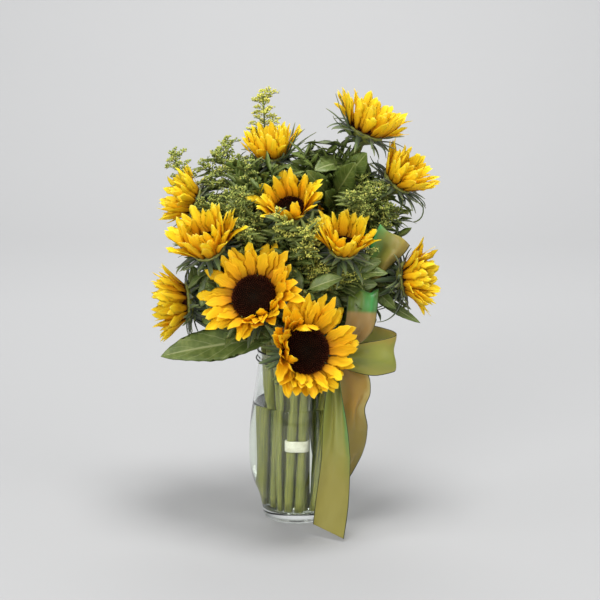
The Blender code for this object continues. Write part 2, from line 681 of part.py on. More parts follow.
def disc_mesh(head):
    """The dark domed disc, with its floret rows raised and sunk by turns round it."""
    r = head.disc
    profile = [(0, 0.14 * r), (0.5 * r, 0.19 * r), (0.9 * r, 0.15 * r), (r, -2), (0, -2)]
    mesh = turned(profile, HEAD_SIDES)
    for vert in mesh.vertices:
        out = math.hypot(vert.co.x, vert.co.y) / MM
        if vert.co.z > 0 and out > 0.1 * r:
            spoke = round(math.atan2(vert.co.y, vert.co.x) / TURN * HEAD_SIDES)
            vert.co.z += (0.9 if (spoke + round(out)) % 2 else -0.5) * MM
    return place_on_head(mesh, head)


def receptacle_mesh(head):
    """The green cup behind the disc."""
    r, depth = head.disc, RECEPTACLE_DEPTH
    profile = [(0, CUP_TOP), (r + 3, CUP_TOP), (0.7 * r + 1.5, -0.66 * depth)]
    profile += [(SUNFLOWER_STEM + 1.5, -depth), (0, -depth)]
    return place_on_head(turned(profile, HEAD_SIDES), head)


def ring_mesh(head):
    """The ring of joined petal bases round the disc."""
    r = head.disc
    profile = [(r + 2.4, 0.4), (r + 3.4, -3.7), (r + 0.6, -3.6), (r + 2.4, 0.4)]
    return place_on_head(turned(profile, HEAD_SIDES), head)


def make_vase(collection):
    inner = [(inner_radius(height), height) for height in VASE_INNER_LEVELS]
    profile = [(0, VASE_BASE), (inner_radius(VASE_BASE), VASE_BASE)] + inner
    profile += [(VASE_OUTER[-1][1] - 0.8, RIM + 0.9)]  # the rounded lip
    profile += [(radius, height) for height, radius in reversed(VASE_OUTER)] + [(0, 0)]
    return add("vase", turned(profile, VASE_SIDES), "glass", collection)


def make_water(stems, collection):
    """The water, inside the glass with a gap, and with a plain hole round each stem."""
    top = WATER_LEVEL
    levels = [top] + [height for height in reversed(VASE_INNER_LEVELS) if height < top]
    profile = [(0, top)] + [(inner_radius(height) - WATER_GAP, height) for height in levels]
    profile += [(inner_radius(VASE_BASE) - WATER_GAP, VASE_BASE + GAP), (0, VASE_BASE + GAP)]
    water = add("water", turned(profile, VASE_SIDES), "water", collection)
    cutters = new_collection("stem_holes", hidden=True)
    for stem in stems.values():
        rise = unit(stem.neck - stem.foot)
        above = stem.foot + rise * (top + 12 - stem.foot[2]) / rise[2]
        sides_level = 1 if stem.radius == SUNFLOWER_STEM else 0
        hole = tube([stem.foot - rise * GAP, above], stem.radius + HOLE_GAP, sides_level)
        add(f"hole_{stem.name}", hole, "water", cutters)
    recess = upright([band_outline(stems, BAND_WALL + GAP)], BAND_HEIGHT + 2 * GAP, BAND_LEVEL)
    add("band_recess", recess, "water", cutters)
    cut = water.modifiers.new("holes", "BOOLEAN")
    cut.operation = "DIFFERENCE"
    cut.operand_type = "COLLECTION"
    cut.collection = cutters
    cut.solver = "MANIFOLD"
    mesh = evaluated_mesh(water)
    water.modifiers.clear()
    water.data = mesh
    for hole in list(cutters.objects):
        bpy.data.objects.remove(hole)
    bpy.data.collections.remove(cutters)
    return water


def band_outline(stems, offset):
    """The outline of the banded stems where the band holds them, moved out by an offset in mm."""
    circles = []
    for name in BANDED:
        stem = stems[name]
        rise = unit(stem.neck - stem.foot)
        reach = stem.radius * FLAT_SIDES + GAP + 0.1 + offset
        for level in (BAND_LEVEL - BAND_HEIGHT / 2, BAND_LEVEL + BAND_HEIGHT / 2):
            at = stem.foot + rise * (level - stem.foot[2]) / rise[2]
            for a in np.linspace(0, TURN, 12, endpoint=False):
                circles.append((at[0] + reach * math.cos(a), at[1] + reach * math.sin(a)))
    return [circles[i] for i in convex_hull_2d(circles)]


def upright(outlines, height, level):
    """A wall of this height round a level, filled between its closed outlines."""
    curve = bpy.data.curves.new("wall", "CURVE")
    curve.dimensions = "2D"
    curve.fill_mode = "BOTH"
    curve.extrude = height / 2 * MM
    for outline in outlines:
        spline = curve.splines.new("POLY")
        spline.points.add(len(outline) - 1)
        spline.use_cyclic_u = True
        for place, (x, y) in zip(spline.points, outline):
            place.co = (x * MM, y * MM, 0, 1)
    obj = bpy.data.objects.new("wall", curve)
    obj.location.z = level * MM
    bpy.context.scene.collection.objects.link(obj)
    bpy.context.view_layer.update()
    return welded_mesh(obj)


def make_band(stems, collection):
    """The paper band that holds three of the stems, a flat loop round the outline of all three."""
    outlines = [band_outline(stems, 0), band_outline(stems, BAND_WALL)]
    return add("stem_band", upright(outlines, BAND_HEIGHT, BAND_LEVEL), "band", collection)


def catmull(rows, t):
    """A smooth curve through the rows, read at t from 0 to 1."""
    rows = np.array(rows, float)
    at = t * (len(rows) - 1)
    i = min(int(at), len(rows) - 2)
    f = at - i
    a, b, c, d = rows[max(i - 1, 0)], rows[i], rows[i + 1], rows[min(i + 2, len(rows) - 1)]
    square, cube = 2 * a - 5 * b + 4 * c - d, 3 * b - a - 3 * c + d
    return 0.5 * (2 * b + (c - a) * f + square * f * f + cube * f ** 3)


def strip_mesh(rows, steps):
    """A ribbon strip: a narrow grid along the rows' middle line, given its thickness both ways."""
    bm = bmesh.new()
    bmesh.ops.create_grid(bm, x_segments=1, y_segments=steps, size=1)
    flat = [np.concatenate([middle, half]) for middle, half in rows]
    for vert in bm.verts:
        both = catmull(flat, (vert.co.y + 1) / 2)
        vert.co = Vector(both[:3] + both[3:] * vert.co.x) * MM
    bmesh.ops.triangulate(bm, faces=bm.faces)
    bmesh.ops.recalc_face_normals(bm, faces=bm.faces)
    bmesh.ops.solidify(bm, geom=bm.faces, thickness=RIBBON_THICK * MM)
    bmesh.ops.recalc_face_normals(bm, faces=bm.faces)
    return mesh_of(bm)


def make_ribbon(collection):
    """The bow: its knot, with every loop and tail of the ribbon fused to it."""
    bm = bmesh.new()
    bmesh.ops.create_uvsphere(bm, u_segments=6, v_segments=5, radius=MM)
    for vert in bm.verts:
        vert.co = vert.co * Vector(KNOT_SIZE) + Vector(KNOT) * MM
    bow = add("ribbon_bow", mesh_of(bm), "ribbon", collection)
    strips = [strip_mesh(rows, 8 if "loop" in name else 7) for name, rows in RIBBON_STRIPS]
    return fuse(bow, loose("strip", strips, "ribbon"))


def make_wire(collection):
    """The florist's wire that ties the bow: a ring round the vase's neck and a spur to the knot."""
    angles = np.linspace(0, TURN, 16, endpoint=False)
    around = [(WIRE_RING * math.cos(a), WIRE_RING * math.sin(a), WIRE_LEVEL) for a in angles]
    wire = add("bow_wire", tube(around, WIRE, 0, closed=True), "wire", collection)
    towards = unit((KNOT[0], KNOT[1], 0))
    start = towards * WIRE_RING + (0, 0, WIRE_LEVEL)
    end = np.array(KNOT) - towards * (KNOT_SIZE[0] + 1.5) - (0, 0, 4)
    return fuse(wire, loose("spur", [tube([start, end], WIRE, 0)], "wire"))


def make_heads(paths, space):
    """Stems with their cups, the petal rings and the discs, then petals and bracts where they fit."""
    bases = {}
    for head in HEADS:
        rod, cup = tube(paths[head.name], SUNFLOWER_STEM), receptacle_mesh(head)
        disc, ring = disc_mesh(head), ring_mesh(head)
        bases[head.name] = (rod, cup, disc, ring)
        space.keep(head.name + "_green", rod)
        space.keep(head.name + "_green", cup)
        space.keep(head.name + "_crown", disc)
        space.keep(head.name + "_crown", ring)
    for head in HEADS:
        yield (head, *bases[head.name], grow_petals(head, space), grow_bracts(head, space))


def grow_petals(head, space):
    """The head's petals, each where it touches nothing but its own crown and the other petals."""
    petals = []
    for azimuth, lift, length, width, curl, sway in petal_draws(head):
        def build(lift, length):
            return blade_on_head(
                head, azimuth, head.disc + 2.2, PETAL_ROOT, lift, length, width, curl, sway,
                PETAL_THICK, PETAL_STATIONS)
        mesh = clear_blade(space, (head.name + "_crown", head.name + "_petals"), build, lift, length)
        if mesh:
            space.keep(head.name + "_petals", mesh, SWELL)
            petals.append(mesh)
    return petals


def grow_bracts(head, space):
    """The pointed green bracts behind the petals, which grow from the cup."""
    bracts = []
    draw = random.Random(head.name + "bracts")
    for n in range(BRACTS):
        azimuth = TURN * (n + draw.uniform(-0.2, 0.2)) / BRACTS
        lift = math.radians(head.lift * 0.55 + draw.uniform(-34, -16))
        length = (0.55 * head.disc + 17) * draw.uniform(0.85, 1.15)
        curl = math.radians(draw.uniform(-30, 50))

        def build(lift, length):
            return blade_on_head(
                head, azimuth, head.disc - 2.5, BRACT_ROOT, lift, length, BRACT_WIDTH, curl, 0.1,
                BRACT_THICK, BRACT_STATIONS)
        mesh = clear_bract(space, (head.name + "_green",), build, lift, length)
        if mesh:
            space.keep(head.name + "_green", mesh, SWELL)
            bracts.append(mesh)
    return bracts


def clear_bract(space, owners, build, lift, length):
    """The first of a few lower or shorter bracts that touches neither petals nor other pieces."""
    for shorter in (1.0, 0.8, 0.62):
        for lowered in (0, -12, -25, -40):
            mesh = build(lift + math.radians(lowered), length * shorter)
            if space.free(owners, mesh):
                return mesh
    return None


def loose(name, meshes, material):
    """Objects for meshes that are about to be fused, linked to no collection yet."""
    made = []
    for n, mesh in enumerate(meshes):
        obj = bpy.data.objects.new(f"{name}_{n}", mesh)
        mesh.materials.clear()
        mesh.materials.append(MATERIALS[material])
        made.append(obj)
    return made


def make_sunflowers(paths, space, collection):
    """Three nodes a flower: the green stem, cup, bracts and leaves, the petals, and the disc."""
    parts = list(make_heads(paths, space))
    for head, rod, cup, disc, ring, petals, bracts in parts:
        leaves = []
        for share, way, length, width, droop in STEM_LEAVES.get(head.name, ()):
            at, _ = point_on(paths[head.name], share)
            mesh = clear_leaf(space, (head.name + "_green",), at, way, length, width, droop)
            if mesh:
                space.keep(head.name + "_green", mesh, SWELL)
                leaves.append(mesh)
        name = f"sunflower_{head.name}"
        green = add(f"{name}_stem", rod, "stem", collection)
        fuse(green, loose(name, [cup] + bracts + leaves, "stem"))
        yellow = add(f"{name}_petals", ring, "petal", collection)
        fuse(yellow, loose(name, petals, "petal"))
        add(f"{name}_disc", disc, "disc", collection)


def branch_draws(name, carried):
    """(share down the plume, azimuth, length, lean) of each branch of a plume, by the golden angle."""
    draw = random.Random(name)
    for n in range(BRANCHES):
        down = ((n + 0.5) / BRANCHES) ** 1.2
        length = carried * (0.2 + 0.24 * down) * draw.uniform(0.9, 1.1)
        yield down, n * GOLDEN_ANGLE + draw.uniform(-0.3, 0.3), length, draw.uniform(0.7, 1.0)


def branch_mesh(root, along, azimuth, length, lean):
    """An arching branch, knobbed where its florets bunch."""
    across = unit(np.cross(along, (math.cos(azimuth), math.sin(azimuth), 0.13)))
    outward = unit(np.cross(across, along))
    starts = 0.5 * math.pi - lean
    rings = []
    for n, (s, radius) in enumerate(BRANCH_KNOBS):
        out, rise = arc(s, length, starts, BRANCH_DROOP)
        turn = starts + BRANCH_DROOP * s
        at = root + outward * out + along * rise
        lifted = along * math.cos(turn) - outward * math.sin(turn)
        if radius == 0:
            rings.append([at])
        else:
            corners = [n + 0.5 + TURN * k / 3 for k in range(3)]
            rings.append([at + radius * (math.cos(a) * across + math.sin(a) * lifted) for a in corners])
    return loft(rings)


def make_goldenrod(name, carried, path, space, collection):
    """A plume: arching branches of bunched florets up the end of the stem."""
    total = np.linalg.norm(np.diff(path, axis=0), axis=1).sum()
    grown = []
    for down, azimuth, length, lean in branch_draws(name, carried):
        root, along = point_on(path, 1 - down * carried / total)
        for swing in (0, 0.5, -0.5, 1.0, -1.0, 1.6):
            branch = branch_mesh(root, along, azimuth + swing, length, lean)
            if space.free((name,), branch):
                space.keep(name, branch, SWELL)
                grown.append(branch)
                break
    tip, along = point_on(path, 0.995)
    top = branch_mesh(tip, along, 0.0, 0.14 * carried, 0.2)
    if space.free((name,), top):
        grown.append(top)
    spray = add(name, tube(path, GOLDENROD_STEM, 0), "goldenrod", collection)
    return fuse(spray, loose(name, grown, "goldenrod"))


def make_sprig(name, leaves, path, space, collection):
    """A woody stem with broad leaves near its end."""
    grown = []
    for share, way, length, width in leaves:
        at, _ = point_on(path, share - 0.004)
        mesh = clear_leaf(space, (name,), at, way, length, width, SPRIG_DROOP)
        if mesh:
            space.keep(name, mesh, SWELL)
            grown.append(mesh)
    sprig = add(name, tube(path, SPRIG_STEM, 0), "leaf", collection)
    return fuse(sprig, loose(name, grown, "leaf"))


def main():
    collection = new_collection("sunflowers_in_vase")
    space = Space()
    stems = lay_out_stems()
    paths = clear_paths(stems)
    space.keep("vase", make_vase(collection).data)
    space.keep("stem_band", make_band(stems, collection).data)
    space.keep("ribbon_bow", make_ribbon(collection).data)
    space.keep("bow_wire", make_wire(collection).data)
    make_water(stems, collection)
    for name, _, _ in GOLDENROD:
        space.keep(name, tube(paths[name], GOLDENROD_STEM, 0))
    for name, _, _ in SPRIGS:
        space.keep(name, tube(paths[name], SPRIG_STEM, 0))
    make_sunflowers(paths, space, collection)
    for name, _, leaves in SPRIGS:
        make_sprig(name, leaves, paths[name], space, collection)
    for name, _, carried in GOLDENROD:
        make_goldenrod(name, carried, paths[name], space, collection)


clear_scene()
MATERIALS = make_materials()
main()
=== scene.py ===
"""Sunflowers in a glass vase: the finish of every piece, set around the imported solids.

Metres, +Z up, the front of the arrangement towards -Y. Tables of flowers are in millimetres.
"""

import functools
import math
import random

import bpy
import numpy as np
from mathutils import Matrix, Vector
from mathutils.bvhtree import BVHTree


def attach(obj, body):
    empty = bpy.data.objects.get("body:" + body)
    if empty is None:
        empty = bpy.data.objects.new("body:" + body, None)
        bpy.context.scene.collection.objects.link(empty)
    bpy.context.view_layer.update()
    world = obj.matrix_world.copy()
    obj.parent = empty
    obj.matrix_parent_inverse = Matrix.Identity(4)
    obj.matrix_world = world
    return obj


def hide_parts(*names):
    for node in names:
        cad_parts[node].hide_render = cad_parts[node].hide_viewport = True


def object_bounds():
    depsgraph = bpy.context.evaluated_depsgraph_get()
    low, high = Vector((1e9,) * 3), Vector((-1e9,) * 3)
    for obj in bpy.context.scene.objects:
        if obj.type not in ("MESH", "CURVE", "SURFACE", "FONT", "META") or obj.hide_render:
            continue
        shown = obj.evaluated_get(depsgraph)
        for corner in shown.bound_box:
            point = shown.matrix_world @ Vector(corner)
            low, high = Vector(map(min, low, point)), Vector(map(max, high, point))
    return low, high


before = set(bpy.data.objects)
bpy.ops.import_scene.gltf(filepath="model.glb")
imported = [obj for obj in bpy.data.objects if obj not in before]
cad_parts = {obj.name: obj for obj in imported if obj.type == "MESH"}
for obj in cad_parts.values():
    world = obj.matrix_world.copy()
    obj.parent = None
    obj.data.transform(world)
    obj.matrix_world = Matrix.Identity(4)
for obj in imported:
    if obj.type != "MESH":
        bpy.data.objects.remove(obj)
CAD_BOX = [list(corner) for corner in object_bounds()]

MM = 0.001
TURN = 2 * math.pi


# ---------------------------------------------------------------- The studio
# A seamless pale paper sweep, a large soft light overhead, softer ones from the front and the sides,
# and an even pale surround. None of it belongs to the arrangement.

CAMERA_DISTANCE = 2.6
CAMERA_RISE = math.radians(13.5)
CAMERA_LENS = 131.0
CAMERA_SENSOR = 36.0
LOOKED_AT = Vector((0.0036, 0.0, 0.517 * CAD_BOX[1][2]))
PAPER = ((0.0, "#AAAAAA"), (0.28, "#AEAEAE"), (0.59, "#B6B6B6"), (0.86, "#B7B7B7"))
LIGHTS = {  # place, what it faces, size in metres, watts
    "overhead": ((0.14, -0.3, 2.3), (0, 0, 0.2), 0.9, 38),
    "front": ((-0.9, -2.4, 1.3), (0, 0, 0.3), 1.4, 34),
    "right_side": ((1.9, -1.2, 1.0), (0, 0, 0.3), 1.0, 13),
    "left_side": ((-1.7, -0.5, 0.7), (0, 0, 0.2), 0.7, 5),
    "backdrop": ((0, 1.6, 2.4), (0, 2.3, 0.1), 1.5, 30),
}


def linear(code):
    """A hex colour as linear light: each byte's share c is c / 12.92 up to 0.04045, and above that it is
    ((c + 0.055) / 1.055) ** 2.4."""
    parts = [int(code[i:i + 2], 16) / 255 for i in (1, 3, 5)]
    return [c / 12.92 if c <= 0.04045 else ((c + 0.055) / 1.055) ** 2.4 for c in parts] + [1.0]


def add_node(tree, kind, inputs=None, **settings):
    """One shader node. An input is a value, another node's socket, or a node, for its first output.
    The settings are the node's own, and stops are the (place, colour) pairs of a ramp. A look is given
    this function, bound to its own material, as add."""
    made = tree.nodes.new("ShaderNode" + kind)
    for name, value in settings.items():
        if name != "stops":
            setattr(made, name, value)
            continue
        while len(made.color_ramp.elements) < len(value):
            made.color_ramp.elements.new(0.5)
        for stop, (at, code) in zip(made.color_ramp.elements, value):
            stop.position = at
            stop.color = linear(code)
    for name, value in (inputs or {}).items():
        if isinstance(value, bpy.types.Node):
            value = value.outputs[0]
        if isinstance(value, bpy.types.NodeSocket):
            tree.links.new(value, made.inputs[name])
        else:
            made.inputs[name].default_value = value
    return made


def finish(name, look, *values):
    """A material whose surface is the shader that its look makes from these values."""
    material = bpy.data.materials.new(name)
    material.use_nodes = True
    material.node_tree.nodes.clear()
    add = functools.partial(add_node, material.node_tree)
    add("OutputMaterial", {"Surface": look(add, *values)})
    return material


def link(obj):
    """The object, put into the scene."""
    bpy.context.scene.collection.objects.link(obj)
    return obj


def skin(*parts):
    """One mesh of closed skins over rings of points. A part is (rings, marks) or (rings, marks, "loop"),
    and rings is (pieces, rows, points round, 3).

    A quad joins each row's neighbours to the next row's, and one face closes each end, or the last row
    is joined to the first in a loop. Seen from the last row, a ring's points run clockwise. marks, of
    the rings' shape or None, become the attribute "marks".
    """
    corners, starts = [], []
    at_point = at_corner = 0
    for rings, _, *loop in parts:
        pieces, rows, around = rings.shape[:3]
        index = at_point + np.arange(pieces * rows * around).reshape(pieces, rows, around)
        following = np.roll(index, -1, axis=1)
        quads = np.stack([index, following, np.roll(following, -1, axis=2), np.roll(index, -1, axis=2)], -1)
        quads = (quads if loop else quads[:, :-1]).reshape(-1)
        caps = np.empty(0, int) if loop else np.concatenate([index[:, 0], index[:, -1, ::-1]]).reshape(-1)
        corners += [quads, caps]
        starts += [at_corner + np.arange(0, len(quads), 4)]
        starts += [at_corner + len(quads) + np.arange(0, len(caps), around)]
        at_point += index.size
        at_corner += len(quads) + len(caps)
    mesh = bpy.data.meshes.new("skin")
    mesh.vertices.add(at_point)
    points = np.concatenate([part[0].reshape(-1) for part in parts])
    mesh.vertices.foreach_set("co", points.astype(np.float32))
    mesh.loops.add(at_corner)
    mesh.loops.foreach_set("vertex_index", np.concatenate(corners).astype(np.int32))
    starts = np.concatenate(starts).astype(np.int32)
    mesh.polygons.add(len(starts))
    mesh.polygons.foreach_set("loop_start", starts)
    mesh.update(calc_edges=True)
    if parts[0][1] is not None:
        add_marks(mesh, np.concatenate([part[1].reshape(-1) for part in parts]))
    mesh.shade_smooth()
    return mesh


def add_marks(mesh, marks):
    """Three numbers for each of a mesh's points, as the attribute that its material reads."""
    layer = mesh.attributes.new("marks", "FLOAT_VECTOR", "POINT")
    layer.data.foreach_set("vector", marks.astype(np.float32).reshape(-1))


def place(name, mesh, material, slot=None, replaced=()):
    """An object of this mesh and material. One with a slot rides on the arrangement and stands for the
    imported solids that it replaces."""
    obj = link(bpy.data.objects.new(name, mesh))
    mesh.materials.append(material)
    if slot:
        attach(obj, "root")
    if replaced:
        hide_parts(*replaced)
    return obj


def paper_look(add):
    """Plain matt studio paper, graded from grey in front to paler behind, so that it looks even when lit."""
    place_on = add("TexCoord")
    parts = add("SeparateXYZ", {"Vector": place_on.outputs["Object"]})
    depth = add("MapRange", {"Value": parts.outputs["Y"], "From Min": -0.2, "From Max": 2.0})
    grade = add("ValToRGB", {"Fac": depth}, stops=PAPER)
    return add("BsdfPrincipled", {"Base Color": grade, "Roughness": 0.95, "Specular IOR Level": 0.1})


def sweep_mesh():
    """The paper: flat towards the camera, a quarter circle up, then straight up behind."""
    radius, flat, far, wide, high = 1.2, -4.0, 1.6, 6.0, 5.0
    angles = np.linspace(0, math.pi / 2, 16)
    y = np.concatenate([[flat], far + radius * np.sin(angles), [far + radius]])
    z = np.concatenate([[0.0], radius * (1 - np.cos(angles)), [high]])
    points = np.stack([np.stack([np.full_like(y, side), y, z], -1) for side in (wide, -wide)], 1)
    index = np.arange(len(y) * 2).reshape(-1, 2)
    faces = np.stack([index[:-1, 0], index[1:, 0], index[1:, 1], index[:-1, 1]], -1)
    mesh = bpy.data.meshes.new("sweep")
    mesh.from_pydata(points.reshape(-1, 3).tolist(), [], faces.tolist())
    mesh.shade_smooth()
    return mesh


place("paper_sweep", sweep_mesh(), finish("matt_paper", paper_look))
for name, (at, aim, size, watts) in LIGHTS.items():
    lamp = bpy.data.lights.new(name, "AREA")
    lamp.shape = "DISK"
    lamp.size = size
    lamp.energy = watts
    lamp_obj = link(bpy.data.objects.new(name, lamp))
    lamp_obj.location = at
    lamp_obj.rotation_euler = (Vector(aim) - Vector(at)).to_track_quat("-Z", "Y").to_euler()

world = bpy.data.worlds.new("pale_surround")
bpy.context.scene.world = world
world.use_nodes = True
world.node_tree.nodes["Background"].inputs["Color"].default_value = linear("#F2F4F7")
world.node_tree.nodes["Background"].inputs["Strength"].default_value = 0.62

camera = link(bpy.data.objects.new("camera", bpy.data.cameras.new("camera")))
bpy.context.scene.camera = camera
camera.data.lens = CAMERA_LENS
camera.data.sensor_width = CAMERA_SENSOR
back = Vector((0, -math.cos(CAMERA_RISE), math.sin(CAMERA_RISE)))
camera.location = LOOKED_AT + back * CAMERA_DISTANCE
camera.rotation_euler = (-back).to_track_quat("-Z", "Y").to_euler()
bpy.context.scene.view_settings.view_transform = "Standard"


# ---------------------------------------------------------------- The vase
# Clear soda-lime glass blown into a mould: a thick floor, a belly, a narrow neck and a fire-polished
# lip. The glass gathers at the foot, which is why its floor is so much thicker than its wall.

VASE_SIDES = 96
VASE_OUTER = (
    (0, 37), (0.8, 39.4), (3, 40.8), (10, 42), (28, 46), (47, 53.3), (67, 57.3), (92, 58), (117, 56.5),
    (143, 53.2), (171, 49), (190, 46.7), (197, 46.4), (204, 47.4), (208, 48.2),
)
VASE_UNDER = ((0.5, 1.6), (14, 1.5), (26, 1.2), (33, 0.4), (35, 0.0))
VASE_WALL = 2.8
VASE_FLOOR = 11.0
FLOOR_CORNER = 4.0
GATHERED = (3.2, 17.0)  # how much thicker the wall is at the floor, and how far up that fades
LIP_RADIUS = 1.35
VASE_RIM = VASE_OUTER[-1][0]


def through(points, t):
    """A smooth curve through the points, read at t from 0 to 1: cubic pieces whose slope at each point
    is half the step between its neighbours."""
    points = np.asarray(points, float)
    at = np.clip(np.asarray(t, float), 0, 1) * (len(points) - 1)
    i = np.minimum(at.astype(int), len(points) - 2)
    f = (at - i)[..., None]
    a, b = points[np.maximum(i - 1, 0)], points[i]
    c, d = points[i + 1], points[np.minimum(i + 2, len(points) - 1)]
    square, cube = 2 * a - 5 * b + 4 * c - d, 3 * b - a - 3 * c + d
    return 0.5 * (2 * b + (c - a) * f + square * f ** 2 + cube * f ** 3)


def turned(profile):
    """Rings round the Z axis for a profile of (radius, height) rows in mm that runs up the outer side:
    each row's points stand at (radius cos a, -radius sin a) for VASE_SIDES angles a."""
    profile = np.asarray(profile, float) * MM
    a = np.linspace(0, TURN, VASE_SIDES, endpoint=False)
    x, y = profile[:, :1] * np.cos(a), -profile[:, :1] * np.sin(a)
    return np.stack([x, y, np.broadcast_to(profile[:, 1:], x.shape)], -1)[None]


outer = through([(radius, height) for height, radius in VASE_OUTER], np.linspace(0, 1, 70))


def glass_inside(heights):
    """The vase's inner radius: its outer one less the wall, which thickens towards the floor."""
    thicker, fades = GATHERED
    wall = VASE_WALL + thicker * np.clip(1 - (np.asarray(heights) - VASE_FLOOR) / fades, 0, 1) ** 2
    return np.interp(heights, outer[:, 1], outer[:, 0]) - wall


def clear_look(add, tint, ior):
    """A clear smooth body that bends light by its IOR, tinted by a trace of green where it is thick."""
    return add("BsdfPrincipled", {
        "Base Color": linear(tint), "Roughness": 0.0, "IOR": ior, "Transmission Weight": 1.0})


heights = np.linspace(VASE_RIM - 0.5, VASE_FLOOR + FLOOR_CORNER, 60)
inner = np.stack([glass_inside(heights), heights], -1)
lip_a = np.linspace(0, math.pi, 9)[1:-1]
lip = (outer[-1] + inner[0]) / 2 + LIP_RADIUS * np.stack([np.cos(lip_a), np.sin(lip_a)], -1)
floor_a = np.linspace(0, math.pi / 2, 8)[1:]
floor_r = inner[-1, 0] - FLOOR_CORNER
floor_curve = np.stack([
    floor_r + FLOOR_CORNER * np.cos(floor_a), VASE_FLOOR + FLOOR_CORNER - FLOOR_CORNER * np.sin(floor_a)], -1)
floor_flat = [(radius, VASE_FLOOR + 0.6 * math.cos(radius / floor_r * math.pi / 2))
              for radius in (26, 18, 9, 0.5)]
profile = np.concatenate([VASE_UNDER, outer, lip, inner, floor_curve, floor_flat])
glass = finish("clear_soda_lime_glass", clear_look, "#FBFEFB", 1.5)
vase = place("vase_glass", skin((turned(profile), None)), glass, "glass", ["vase"])
vase.visible_shadow = False  # clear glass lets nearly all light through, so it throws no dark shadow


# ---------------------------------------------------------------- The water
# Still tap water, which fills the vase to a little below its neck. It meets the glass with no air
# between, so its skin runs just inside the wall's inner face, and it climbs a little at its edge.

WATER_LEVEL = 143.0
WATER_CLIMB = 1.2
WATER_OVERLAP = 0.12  # how far the skin runs into the glass, so that no air shows between them

heights = np.linspace(VASE_FLOOR + FLOOR_CORNER, WATER_LEVEL + WATER_CLIMB, 50)
side = np.stack([glass_inside(heights) + WATER_OVERLAP, heights], -1)
sunk = floor_curve[::-1] + (WATER_OVERLAP, -WATER_OVERLAP)
climb = np.linspace(0, 1, 8)[1:]
surface = np.stack([side[-1, 0] - 0.2 - 5 * climb, WATER_LEVEL + WATER_CLIMB * (1 - climb) ** 3], -1)
middle = [(20, WATER_LEVEL), (0.5, WATER_LEVEL)]
profile = np.concatenate([[(0.5, VASE_FLOOR + 0.45)], sunk[:-1], side, surface, middle])
still_water = finish("still_water", clear_look, "#FCFEF6", 1.333)
water = place("water_fill", skin((turned(profile), None)), still_water, "water", ["water"])
water.visible_shadow = False  # clear water does the same


# ---------------------------------------------------------------- Where each stem runs
# The stems are the solids' own: each runs straight from the vase's floor to its neck, turned round
# the vase in a loose spiral, then bends to its flower. Pushing them apart in rounds clears them.

HEADS = {  # middle of the disc, way it faces, disc radius, petal length, lift, side that folds in, fold
    "front_right": ((10, -116, 236), (0.30, -0.90, 0.28), 26, 41, 20, 180, 48),
    "front_left": ((-49, -88, 292), (-0.26, -0.84, 0.46), 25, 40, 18, -60, 42),
    "middle": ((-8, -42, 386), (-0.14, -0.62, 0.78), 16, 38, 52, -80, 10),
    "mid_right": ((54, -64, 346), (0.12, -0.46, 0.88), 15, 38, 52, -90, 8),
    "left": ((-103, -50, 345), (-0.34, -0.48, 0.81), 19, 40, 46, -60, 18),
    "top_left": ((-30, 22, 441), (-0.16, -0.12, 0.98), 17, 34, 58, 0, 0),
    "top_right": ((82, 18, 471), (0.40, -0.06, 0.90), 20, 40, 46, 0, 0),
    "right_upper": ((121, 4, 413), (0.60, -0.22, 0.76), 17, 36, 52, 0, 0),
    "right": ((132, -20, 298), (0.95, -0.26, 0.14), 19, 36, 50, 0, 0),
    "far_left_upper": ((-127, 30, 382), (-0.88, -0.12, 0.40), 17, 34, 50, 0, 0),
    "far_left_lower": ((-135, -22, 270), (-0.98, -0.18, -0.02), 21, 37, 54, 0, 0),
    "back": ((10, 92, 335), (0.10, 0.80, 0.58), 21, 38, 30, 0, 0),
}
STEM_R = {"sunflower": 5.0, "goldenrod": 1.6, "sprig": 1.9}
PLUMES = {  # tip of each plume, and the length of stem that carries branches
    "goldenrod_top": ((-40, 50, 505), 90),
    "goldenrod_left": ((-148, 50, 431), 84),
    "goldenrod_upper_left": ((-86, 46, 447), 90),
    "goldenrod_centre_left": ((-60, -26, 393), 84),
    "goldenrod_centre": ((20, -70, 373), 70),
    "goldenrod_right": ((84, -16, 405), 84),
}
